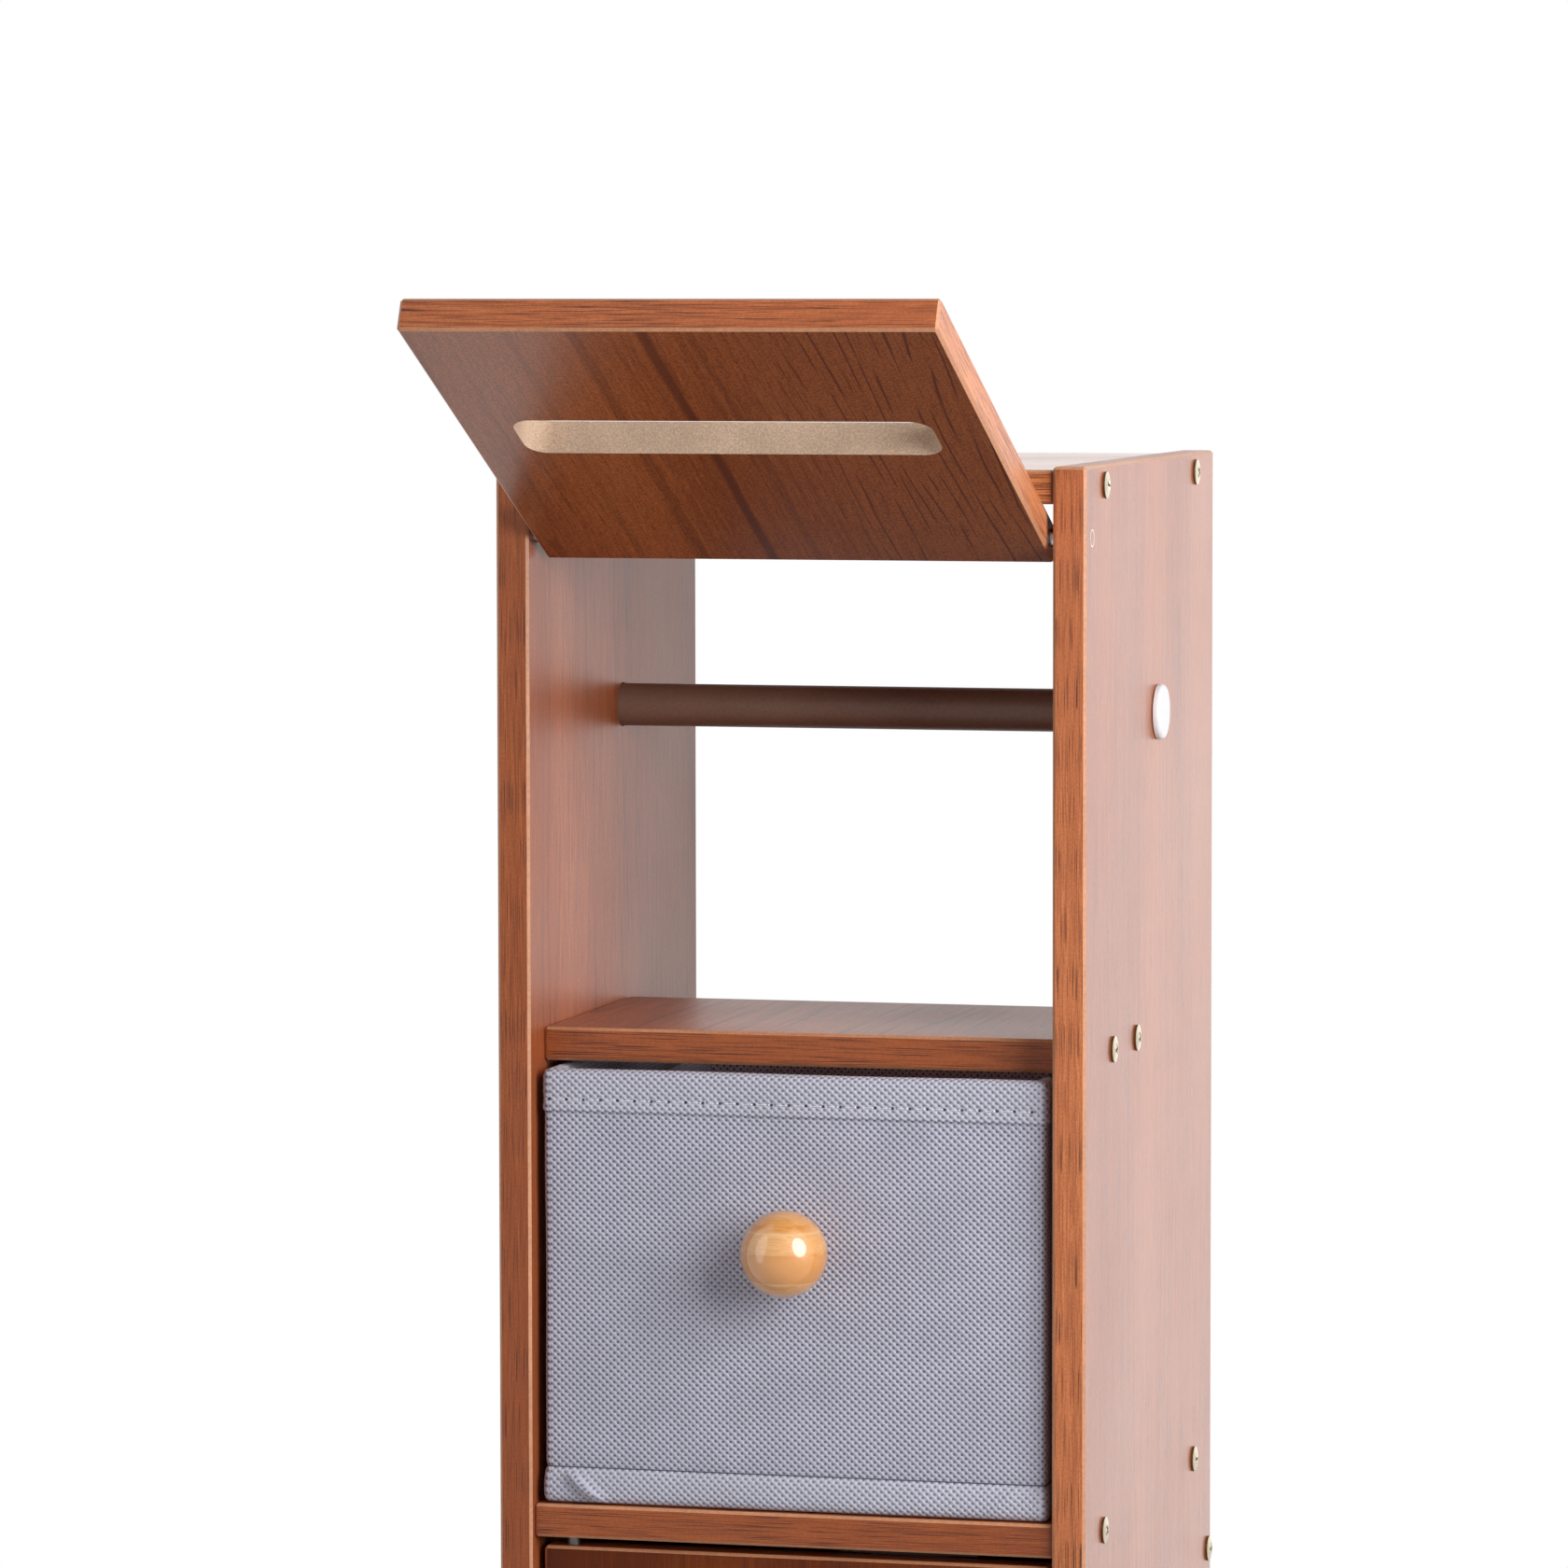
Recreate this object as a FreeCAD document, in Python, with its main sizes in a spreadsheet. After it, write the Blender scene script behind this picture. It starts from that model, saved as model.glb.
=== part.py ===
import FreeCAD, Part
import math
import os
import Sketcher

# Slim free-standing bathroom rack in melamine-faced board: an open-backed upper bay behind a
# flip-up slotted lid, a fabric drawer on a shelf and a cabinet with a pin-hung door.
# Frame: origin on the floor under the middle of the rack, +X right, +Y back, +Z up.

Vector = FreeCAD.Vector
Constraint = Sketcher.Constraint

# Driving dimensions: millimetres, or degrees where the name says angle.
SIZES = (
    # Carcass
    ("rack_width", "170"),
    ("rack_depth", "180"),
    ("rack_height", "780"),
    ("board_thickness", "9.5"),
    ("edge_bevel", "0.8"),
    ("top_drop", "1"),
    ("top_setback", "2"),
    ("shelf_setback", "2.3"),
    ("roll_bay_height", "150"),
    ("roll_shelf_depth", "90"),
    ("drawer_bay_height", "125.5"),
    ("foot_height", "20"),
    # Screws through the side panels
    ("panel_screw_length", "30"),
    ("panel_screw_radius", "1.7"),
    ("panel_screw_tip", "5"),
    ("panel_screw_head_radius", "3.75"),
    ("panel_screw_head_height", "1.3"),
    ("panel_screw_rim", "0.7"),
    ("panel_screw_crown", "2.4"),
    ("screw_front_inset", "25"),
    ("screw_back_inset", "27"),
    ("roll_shelf_screw_inset", "23"),
    ("roll_shelf_screw_spacing", "32"),
    ("back_screw_inset", "26"),
    ("screw_fit", "0.05"),
    ("screw_end_room", "1"),
    # Lid on two pins
    ("lid_open_angle", "25"),
    ("lid_side_gap", "2"),
    ("lid_pivot_setback", "8.2"),
    ("lid_pivot_drop", "20"),
    ("lid_tail", "6.8"),
    ("lid_stop_gap", "1"),
    ("lid_end_rise", "0.8"),
    ("slot_side_margin", "15"),
    ("slot_width", "22"),
    ("slot_corner_radius", "6"),
    ("slot_reach", "79.3"),
    ("lid_pin_radius", "2.5"),
    ("lid_pin_grip", "12"),
    ("pin_seat_fit", "0.02"),
    ("pin_running_fit", "0.05"),
    ("pin_end_room", "0.5"),
    # Rod across the upper bay
    ("rod_radius", "6.25"),
    ("rod_drop", "73.5"),
    ("rod_setback", "98"),
    ("rod_clearance", "0.3"),
    ("rod_socket_depth", "6.5"),
    ("rod_end_gap", "0.5"),
    ("rod_bevel", "0.8"),
    ("cap_radius", "8"),
    ("cap_height", "2"),
    ("cap_seat_gap", "0.3"),
    ("cap_rounding", "1.2"),
    ("cap_spigot_radius", "3"),
    ("cap_spigot_length", "12"),
    # Fabric drawer over card boards
    ("drawer_setback", "4"),
    ("drawer_back_gap", "4"),
    ("drawer_side_gap", "2"),
    ("drawer_top_gap", "1.3"),
    ("drawer_slide_gap", "0.3"),
    ("drawer_corner_radius", "1.4"),
    ("fabric_thickness", "1"),
    ("card_thickness", "2"),
    ("hem_height", "12"),
    ("border_height", "10"),
    ("hem_step", "0.6"),
    # Ball knobs and their screws
    ("knob_radius", "12.25"),
    ("knob_seat_radius", "6.5"),
    ("drawer_knob_drop", "49.3"),
    ("knob_screw_bite", "12"),
    ("knob_screw_radius", "2"),
    ("knob_screw_tip", "3"),
    ("knob_screw_head_radius", "4"),
    ("knob_screw_head_height", "2.4"),
    ("knob_screw_rim", "0.8"),
    ("knob_screw_crown", "2.3"),
    ("washer_radius", "6"),
    ("washer_thickness", "1"),
    # Inset door on two pins
    ("door_setback", "5.5"),
    ("door_side_gap", "2"),
    ("door_end_gap", "3"),
    ("door_pivot_inset", "7.5"),
    ("door_pin_radius", "2"),
    ("door_pin_grip", "10"),
    ("door_pin_seat", "6.5"),
    ("door_knob_inset", "24"),
    ("door_knob_drop", "120"),
    # Magnetic catch behind the door
    ("catch_inset", "45"),
    ("catch_width", "40"),
    ("catch_block_width", "22"),
    ("catch_depth", "13"),
    ("catch_height", "12"),
    ("catch_flange", "3"),
    ("catch_screw_spacing", "31"),
    ("catch_gap", "0.3"),
    ("magnet_width", "16"),
    ("magnet_height", "5"),
    ("magnet_depth", "9"),
    ("magnet_rise", "2"),
    ("strike_width", "16"),
    ("strike_height", "28"),
    ("strike_thickness", "1"),
    ("strike_drop", "1"),
    ("strike_screw_drop", "20"),
    ("small_screw_length", "9"),
    ("small_screw_radius", "1.3"),
    ("small_screw_tip", "2.5"),
    ("small_screw_head_radius", "2.8"),
    ("small_screw_head_height", "1.6"),
    ("small_screw_rim", "0.5"),
    ("small_screw_crown", "1.6"),
    # Extra length of every through cut
    ("overrun", "2"),
)

# Lengths and heights worked out from the driving dimensions, as expressions.
THICK = "Sizes.board_thickness"
HALF_THICK = "(Sizes.board_thickness / 2)"
HALF_WIDTH = "(Sizes.rack_width / 2)"
INNER_WIDTH = "(Sizes.rack_width - 2 * Sizes.board_thickness)"
FRONT = "(-Sizes.rack_depth / 2)"
TOP_LOW = "(Sizes.rack_height - Sizes.top_drop - Sizes.board_thickness)"
ROLL_SHELF_LOW = f"({TOP_LOW} - Sizes.roll_bay_height - Sizes.board_thickness)"
DRAWER_SHELF_LOW = f"({ROLL_SHELF_LOW} - Sizes.drawer_bay_height - Sizes.board_thickness)"
BOTTOM_TOP = "(Sizes.foot_height + Sizes.board_thickness)"
DOOR_BAY_HEIGHT = f"({DRAWER_SHELF_LOW} - {BOTTOM_TOP})"
ROLL_SHELF_SETBACK = "(Sizes.lid_pivot_setback + Sizes.board_thickness / 2 + Sizes.lid_stop_gap)"
FULL_SHELF_DEPTH = "(Sizes.rack_depth - Sizes.shelf_setback)"

SCREW_DEPTHS = ("Sizes.screw_front_inset", "(Sizes.rack_depth - Sizes.screw_back_inset)")
ROLL_SHELF_SCREW_DEPTHS = (
    f"({ROLL_SHELF_SETBACK} + Sizes.roll_shelf_screw_inset)",
    f"({ROLL_SHELF_SETBACK} + Sizes.roll_shelf_screw_inset + Sizes.roll_shelf_screw_spacing)",
)
BACK_SCREW_DEPTH = "(Sizes.rack_depth - Sizes.board_thickness / 2)"
BACK_SCREW_RISES = (
    "Sizes.back_screw_inset",
    f"({DOOR_BAY_HEIGHT} / 2)",
    f"({DOOR_BAY_HEIGHT} - Sizes.back_screw_inset)",
)
PANEL_SCREW_HOLE = "(Sizes.panel_screw_radius + Sizes.screw_fit)"
PANEL_PILOT_DEPTH = "(Sizes.panel_screw_length - Sizes.board_thickness + Sizes.screw_end_room)"

LID_WIDTH = f"({INNER_WIDTH} - 2 * Sizes.lid_side_gap)"
SLOT_LENGTH = f"({LID_WIDTH} - 2 * Sizes.slot_side_margin)"
LID_PIVOT_HEIGHT = "(Sizes.rack_height - Sizes.lid_pivot_drop)"
LID_REACH = f"({LID_PIVOT_HEIGHT} - {ROLL_SHELF_LOW} - Sizes.lid_end_rise)"
LID_PIN_LENGTH = "(Sizes.board_thickness + Sizes.lid_side_gap + Sizes.lid_pin_grip)"

ROD_HEIGHT = "(Sizes.rack_height - Sizes.rod_drop)"
ROD_START = "(Sizes.board_thickness - Sizes.rack_width / 2 - Sizes.rod_socket_depth + Sizes.rod_end_gap)"
ROD_LENGTH = f"({HALF_WIDTH} + Sizes.cap_seat_gap - {ROD_START})"

DRAWER_WIDTH = f"({INNER_WIDTH} - 2 * Sizes.drawer_side_gap)"
DRAWER_DEPTH = "(Sizes.rack_depth - Sizes.drawer_setback - Sizes.drawer_back_gap)"
DRAWER_HEIGHT = "(Sizes.drawer_bay_height - Sizes.drawer_top_gap - Sizes.drawer_slide_gap)"
DRAWER_FRONT = f"({FRONT} + Sizes.drawer_setback)"
DRAWER_FLOOR = f"({DRAWER_SHELF_LOW} + Sizes.board_thickness + Sizes.drawer_slide_gap)"
CARD_INSET = "(Sizes.hem_step + Sizes.fabric_thickness)"
LINING_INSET = f"({CARD_INSET} + Sizes.card_thickness)"
CARD_SPACE_WIDTH = f"({DRAWER_WIDTH} - 2 * {CARD_INSET})"
CARD_SPACE_DEPTH = f"({DRAWER_DEPTH} - 2 * {CARD_INSET})"
CARD_HEIGHT = f"({DRAWER_HEIGHT} - 2 * Sizes.fabric_thickness)"
LINING_WIDTH = f"({DRAWER_WIDTH} - 2 * {LINING_INSET})"
LINING_DEPTH = f"({DRAWER_DEPTH} - 2 * {LINING_INSET})"
LINING_FLOOR = "(Sizes.fabric_thickness + Sizes.card_thickness)"
DRAWER_WALL = f"({LINING_INSET} + Sizes.fabric_thickness)"
DRAWER_KNOB_RISE = f"({DRAWER_HEIGHT} - Sizes.drawer_knob_drop)"

KNOB_SEAT = "sqrt(Sizes.knob_radius ^ 2 - Sizes.knob_seat_radius ^ 2)"
KNOB_HOLE = "(Sizes.knob_screw_radius + Sizes.screw_fit)"
KNOB_HOLE_DEPTH = "(Sizes.knob_screw_bite + Sizes.screw_end_room)"
DRAWER_KNOB_GRIP = f"({DRAWER_WALL} - Sizes.hem_step + Sizes.washer_thickness)"

DOOR_WIDTH = f"({INNER_WIDTH} - 2 * Sizes.door_side_gap)"
DOOR_HEIGHT = f"({DOOR_BAY_HEIGHT} - 2 * Sizes.door_end_gap)"
DOOR_LOW = f"({BOTTOM_TOP} + Sizes.door_end_gap)"
DOOR_PIVOT_DEPTH = "(Sizes.door_setback + Sizes.board_thickness / 2)"
DOOR_PIVOT_X = f"(Sizes.door_side_gap + Sizes.door_pivot_inset - {INNER_WIDTH} / 2)"
DOOR_PIVOT_FROM_MIDDLE = f"({INNER_WIDTH} / 2 - Sizes.door_side_gap - Sizes.door_pivot_inset)"
DOOR_KNOB_REACH = f"({DOOR_WIDTH} - Sizes.door_pivot_inset - Sizes.door_knob_inset)"
DOOR_KNOB_RISE = f"({DOOR_HEIGHT} - Sizes.door_knob_drop)"
DOOR_PIN_LENGTH = "(Sizes.door_pin_seat + Sizes.door_end_gap + Sizes.door_pin_grip)"

CATCH_X = f"({INNER_WIDTH} / 2 - Sizes.catch_inset)"
CATCH_DEPTH_IN_RACK = (
    "(Sizes.door_setback + Sizes.board_thickness + Sizes.strike_thickness + Sizes.catch_gap)"
)
CATCH_SCREW_DEPTH = f"({CATCH_DEPTH_IN_RACK} + Sizes.catch_depth / 2)"
SMALL_SCREW_HOLE = "(Sizes.small_screw_radius + Sizes.screw_fit)"
CATCH_PILOT_DEPTH = "(Sizes.small_screw_length - Sizes.catch_flange + Sizes.screw_end_room / 2)"
STRIKE_PILOT_DEPTH = "(Sizes.small_screw_length - Sizes.strike_thickness + Sizes.screw_end_room / 2)"
STRIKE_REACH = f"({CATCH_X} - {DOOR_PIVOT_X})"
STRIKE_TOP = f"({DOOR_HEIGHT} - Sizes.strike_drop)"

# Sketch names for the ends of a line, the middle of a circle and the sketch's own axes.
START, END, CENTRE = range(1, 4)
ORIGIN = ACROSS_AXIS = -START
UP_AXIS = -END

doc = FreeCAD.newDocument("slim_storage_rack")
sheet = doc.addObject("Spreadsheet::Sheet", "Sizes")
for row, (alias, number) in enumerate(SIZES, start=1):
    sheet.set(f"A{row}", number)
    sheet.setAlias(f"A{row}", alias)
doc.recompute()

# Every sub-part that is handed over, by the name of its node.
nodes = {}


def place(obj, x="0", y="0", z="0", turn_axis=None, turn_angle="0"):
    """Moves an object to the given place, turned about one axis through its own origin."""
    axis = turn_axis or Vector(0, 0, 1)
    obj.Placement = FreeCAD.Placement(Vector(), FreeCAD.Rotation(axis, 1))
    obj.setExpression("Placement.Rotation.Angle", turn_angle)
    for letter, expression in (("x", x), ("y", y), ("z", z)):
        obj.setExpression(f"Placement.Base.{letter}", expression)


def new_body(name, kept=True):
    """Starts a body; a kept one becomes a node."""
    body = doc.addObject("PartDesign::Body", name)
    body.Label = name
    if kept:
        nodes[name] = body
    return body


def origin_plane(body, role):
    """Finds one of the body's own base planes."""
    return next(feature for feature in body.Origin.OriginFeatures if feature.Role == role)


def new_sketch(body, name, role, offset="0"):
    """Starts a sketch on a base plane of the body, moved along the plane's normal."""
    sketch = body.newObject("Sketcher::SketchObject", name)
    sketch.AttachmentSupport = [(origin_plane(body, role), "")]
    sketch.MapMode = "FlatFace"
    sketch.setExpression("AttachmentOffset.Base.z", offset)
    return sketch


def measure(sketch, kind, places, expression, first_value=1):
    """Adds a dimension that follows an expression."""
    index = sketch.addConstraint(Constraint(kind, *places, first_value))
    name = f"size_{index}"
    sketch.renameConstraint(index, name)
    sketch.setExpression(f"Constraints.{name}", expression)


def rectangle(sketch, across, up, left=None, low=None, below=None):
    """Draws a rectangle on the across axis, raised by low or dropped by below.

    It starts left of the origin by the given length, or is centred on the up axis.
    """
    corners = (Vector(-1, 0), Vector(1, 0), Vector(1, 1), Vector(-1, 1))
    for start, end in zip(corners, corners[1:] + corners[:1]):
        sketch.addGeometry(Part.LineSegment(start, end))
    bottom, right, top, side = range(4)
    for line, following in ((bottom, right), (right, top), (top, side), (side, bottom)):
        sketch.addConstraint(Constraint("Coincident", line, END, following, START))
    sketch.addConstraint(Constraint("Vertical", right))
    sketch.addConstraint(Constraint("Vertical", side))
    sketch.addConstraint(Constraint("Horizontal", top))
    if left is None:
        sketch.addConstraint(Constraint("Symmetric", bottom, START, bottom, END, UP_AXIS))
    else:
        sketch.addConstraint(Constraint("Horizontal", bottom))
        measure(sketch, "DistanceX", (bottom, START, ORIGIN, START), left)
    if low is not None:
        measure(sketch, "DistanceY", (ORIGIN, START, bottom, START), low)
    elif below is not None:
        measure(sketch, "DistanceY", (bottom, START, ORIGIN, START), below)
    else:
        sketch.addConstraint(Constraint("PointOnObject", bottom, START, ACROSS_AXIS))
    measure(sketch, "DistanceX", (bottom, START, bottom, END), across)
    measure(sketch, "DistanceY", (right, START, right, END), up)


def circles(sketch, sites, radius):
    """Draws equal circles at places across and up from the origin; None is on that axis."""
    for number, (across, up) in enumerate(sites):
        sketch.addGeometry(Part.Circle(Vector(number + 1, 1), Vector(0, 0, 1), 1))
        if across is None:
            sketch.addConstraint(Constraint("PointOnObject", number, CENTRE, UP_AXIS))
        else:
            measure(sketch, "DistanceX", (ORIGIN, START, number, CENTRE), across)
        if up is None:
            sketch.addConstraint(Constraint("PointOnObject", number, CENTRE, ACROSS_AXIS))
        else:
            measure(sketch, "DistanceY", (ORIGIN, START, number, CENTRE), up)
        measure(sketch, "Radius", (number,), radius)


def pad(body, sketch, length):
    """Raises a sketch along its normal."""
    feature = body.newObject("PartDesign::Pad", sketch.Name + "_pad")
    feature.Profile = sketch
    feature.setExpression("Length", length)
    body.Tip = feature
    return feature


def pocket(body, sketch, depth, along_normal=False):
    """Cuts a sketch into the body, against its normal unless told otherwise."""
    feature = body.newObject("PartDesign::Pocket", sketch.Name + "_cut")
    feature.Profile = sketch
    feature.Reversed = along_normal
    feature.setExpression("Length", depth)
    body.Tip = feature
    return feature


def mirror(body, feature, role):
    """Repeats a feature on the other side of a base plane."""
    copy = body.newObject("PartDesign::Mirrored", feature.Name + "_mirrored")
    copy.Originals = [feature]
    copy.MirrorPlane = (origin_plane(body, role), [""])
    body.Tip = copy


def bevel(body, feature, edges, amount):
    """Bevels the chosen edges of a feature."""
    chamfer = body.newObject("PartDesign::Chamfer", feature.Name + "_bevel")
    chamfer.Base = (feature, edges)
    chamfer.setExpression("Size", amount)
    body.Tip = chamfer


def all_edges(feature):
    """Names every edge of a feature."""
    doc.recompute()
    return [f"Edge{number}" for number in range(1, len(feature.Shape.Edges) + 1)]


def edges_along(feature, direction):
    """Names the straight edges of a feature that run along a direction."""
    doc.recompute()
    found = []
    for number, edge in enumerate(feature.Shape.Edges, start=1):
        ends = edge.Vertexes
        run = ends[-1].Point - ends[0].Point
        if run.Length > 0 and math.isclose(abs(run.normalize().dot(direction)), 1):
            found.append(f"Edge{number}")
    return found


def board(name, across, deep, tall, left=None, below=None):
    """Makes a square-cut board with bevelled edges, standing on its own XY plane."""
    body = new_body(name)
    outline = new_sketch(body, name + "_outline", "XY_Plane")
    rectangle(outline, across, deep, left=left, below=below)
    solid = pad(body, outline, tall)
    bevel(body, solid, all_edges(solid), "Sizes.edge_bevel")
    return body


def drill(body, name, role, offset, sites, radius, depth, along_normal=False):
    """Drills equal holes from a plane of the body."""
    sketch = new_sketch(body, f"{body.Name}_{name}", role, offset)
    circles(sketch, sites, radius)
    return pocket(body, sketch, depth, along_normal)


def screw(name, family, length, kept=True):
    """Makes a screw with a bevelled head on +Z and a pointed shank down -Z from its underside."""
    body = new_body(name, kept)
    head_radius = sheet.get(f"{family}_head_radius")
    head_height = sheet.get(f"{family}_head_height")
    rim = sheet.get(f"{family}_rim")
    crown = sheet.get(f"{family}_crown")
    shank_radius = sheet.get(f"{family}_radius")
    tip = sheet.get(f"{family}_tip")

    profile = new_sketch(body, name + "_profile", "XZ_Plane")
    points = (
        Vector(0, head_height),
        Vector(crown, head_height),
        Vector(head_radius, rim),
        Vector(head_radius, 0),
        Vector(shank_radius, 0),
        Vector(shank_radius, -tip),
        Vector(0, -2 * tip),
    )
    for start, end in zip(points, points[1:] + points[:1]):
        profile.addGeometry(Part.LineSegment(start, end))
    flat, slope, edge, underside, shank, point, axis = range(7)
    for line, following in zip(range(7), (slope, edge, underside, shank, point, axis, flat)):
        profile.addConstraint(Constraint("Coincident", line, END, following, START))
    profile.addConstraint(Constraint("PointOnObject", flat, START, UP_AXIS))
    profile.addConstraint(Constraint("PointOnObject", axis, START, UP_AXIS))
    profile.addConstraint(Constraint("PointOnObject", edge, END, ACROSS_AXIS))
    for line in (flat, underside):
        profile.addConstraint(Constraint("Horizontal", line))
    for line in (edge, shank):
        profile.addConstraint(Constraint("Vertical", line))
    measure(profile, "DistanceX", (ORIGIN, START, edge, END), f"Sizes.{family}_head_radius", head_radius)
    measure(profile, "DistanceY", (ORIGIN, START, flat, START), f"Sizes.{family}_head_height", head_height)
    measure(profile, "DistanceX", (flat, START, flat, END), f"Sizes.{family}_crown", crown)
    measure(profile, "DistanceY", (edge, END, edge, START), f"Sizes.{family}_rim", rim)
    measure(profile, "DistanceX", (ORIGIN, START, shank, START), f"Sizes.{family}_radius", shank_radius)
    measure(profile, "DistanceY", (shank, END, shank, START), f"{length} - Sizes.{family}_tip", tip)
    measure(profile, "DistanceY", (point, END, point, START), f"Sizes.{family}_tip", tip)
    turned = body.newObject("PartDesign::Revolution", name + "_turned")
    turned.Profile = profile
    turned.ReferenceAxis = (profile, ["V_Axis"])
    body.Tip = turned
    return body


def copies(name, master, sites, turn_axis, turn_angle):
    """Makes a node from equal pieces that stand apart: one copy of the master at each place."""
    links = []
    for number, (x, y, z) in enumerate(sites, start=1):
        link = doc.addObject("App::Link", f"{name}_{number}")
        link.LinkedObject = master
        link.LinkTransform = False
        place(link, x, y, z, turn_axis, turn_angle)
        links.append(link)
    group = doc.addObject("Part::Compound", name)
    group.Label = name
    group.Links = links
    nodes[name] = group


# Places of the screws on a side panel: depth behind its front edge and height above the floor.
def screw_sites():
    rows = (
        (SCREW_DEPTHS, f"({TOP_LOW} + {HALF_THICK})"),
        (ROLL_SHELF_SCREW_DEPTHS, f"({ROLL_SHELF_LOW} + {HALF_THICK})"),
        (SCREW_DEPTHS, f"({DRAWER_SHELF_LOW} + {HALF_THICK})"),
        (SCREW_DEPTHS, f"(Sizes.foot_height + {HALF_THICK})"),
    )
    sites = [(depth, height) for depths, height in rows for depth in depths]
    sites += [(BACK_SCREW_DEPTH, f"({BOTTOM_TOP} + {rise})") for rise in BACK_SCREW_RISES]
    return sites


# Side panel: the left one has a blind socket for the rod, the right one lets it through.
def side_panel(name, x, rod_depth):
    body = board(name, THICK, "Sizes.rack_depth", "Sizes.rack_height")
    through = f"({THICK} + Sizes.overrun)"
    pin_site = ("Sizes.lid_pivot_setback", LID_PIVOT_HEIGHT)
    rod_site = ("Sizes.rod_setback", ROD_HEIGHT)
    drill(body, "screw_holes", "YZ_Plane", HALF_THICK, screw_sites(), PANEL_SCREW_HOLE, through)
    drill(body, "pin_hole", "YZ_Plane", HALF_THICK, [pin_site],
          "(Sizes.lid_pin_radius + Sizes.pin_seat_fit)", through)
    drill(body, "rod_hole", "YZ_Plane", HALF_THICK, [rod_site],
          "(Sizes.rod_radius + Sizes.rod_clearance)", rod_depth)
    place(body, x, FRONT, "0")


# Board between the side panels, with pilot holes in both ends.
def cross_board(name, deep, setback, low, screw_depths):
    body = board(name, INNER_WIDTH, deep, THICK)
    sites = [(f"{depth} - {setback}", HALF_THICK) for depth in screw_depths]
    holes = drill(body, "pilots", "YZ_Plane", f"{INNER_WIDTH} / 2", sites,
                  PANEL_SCREW_HOLE, PANEL_PILOT_DEPTH)
    mirror(body, holes, "YZ_Plane")
    place(body, "0", f"{FRONT} + {setback}", low)
    return body


def carcass():
    """Seven boards: two sides, top, two shelves, bottom and a back behind the door bay."""
    side_x = f"({HALF_WIDTH} - {HALF_THICK})"
    side_panel("left_side_panel", f"-{side_x}", "Sizes.rod_socket_depth")
    side_panel("right_side_panel", side_x, f"({THICK} + Sizes.overrun)")
    top_depth = "(Sizes.rack_depth - Sizes.top_setback)"
    cross_board("top_panel", top_depth, "Sizes.top_setback", TOP_LOW, SCREW_DEPTHS)
    cross_board("roll_shelf", "Sizes.roll_shelf_depth", ROLL_SHELF_SETBACK, ROLL_SHELF_LOW,
                ROLL_SHELF_SCREW_DEPTHS)
    shelf = cross_board("drawer_shelf", FULL_SHELF_DEPTH, "Sizes.shelf_setback", DRAWER_SHELF_LOW,
                        SCREW_DEPTHS)
    bottom = cross_board("bottom_panel", FULL_SHELF_DEPTH, "Sizes.shelf_setback", "Sizes.foot_height",
                         SCREW_DEPTHS)
    back = board("back_panel", INNER_WIDTH, THICK, DOOR_BAY_HEIGHT)
    back_sites = [(HALF_THICK, rise) for rise in BACK_SCREW_RISES]
    holes = drill(back, "pilots", "YZ_Plane", f"{INNER_WIDTH} / 2", back_sites,
                  PANEL_SCREW_HOLE, PANEL_PILOT_DEPTH)
    mirror(back, holes, "YZ_Plane")
    place(back, "0", f"{FRONT} + Sizes.rack_depth - {THICK}", BOTTOM_TOP)

    pin_hole = "(Sizes.door_pin_radius + Sizes.pin_seat_fit)"
    pin_seat = "(Sizes.door_pin_seat + Sizes.pin_end_room)"
    door_pin_site = [(f"{DOOR_PIVOT_FROM_MIDDLE}", f"{DOOR_PIVOT_DEPTH} - Sizes.shelf_setback")]
    left_pin_hole(shelf, "pin_seat", "0", door_pin_site, pin_hole, pin_seat, True)
    left_pin_hole(bottom, "pin_seat", THICK, door_pin_site, pin_hole, pin_seat, False)
    catch_sites = [
        (f"{CATCH_X} {sign} Sizes.catch_screw_spacing / 2", f"{CATCH_SCREW_DEPTH} - Sizes.shelf_setback")
        for sign in "-+"
    ]
    drill(shelf, "catch_pilots", "XY_Plane", "0", catch_sites, SMALL_SCREW_HOLE, CATCH_PILOT_DEPTH, True)


# Blind hole left of the middle of a board, for a door pin.
def left_pin_hole(body, name, offset, sites, radius, depth, along_normal):
    sketch = new_sketch(body, f"{body.Name}_{name}", "XY_Plane", offset)
    sketch.addGeometry(Part.Circle(Vector(-1, 1), Vector(0, 0, 1), 1))
    for across, up in sites:
        measure(sketch, "DistanceX", (0, CENTRE, ORIGIN, START), across)
        measure(sketch, "DistanceY", (ORIGIN, START, 0, CENTRE), up)
    measure(sketch, "Radius", (0,), radius)
    pocket(body, sketch, depth, along_normal)


def panel_screws():
    """Proud screws through each side panel into the ends of the boards."""
    master = screw("panel_screw", "panel_screw", "Sizes.panel_screw_length", kept=False)
    for name, x, angle in (("panel_screws_left", f"-{HALF_WIDTH}", "-90"),
                           ("panel_screws_right", HALF_WIDTH, "90")):
        sites = [(x, f"{FRONT} + {depth}", height) for depth, height in screw_sites()]
        copies(name, master, sites, Vector(0, 1, 0), angle)


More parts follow.
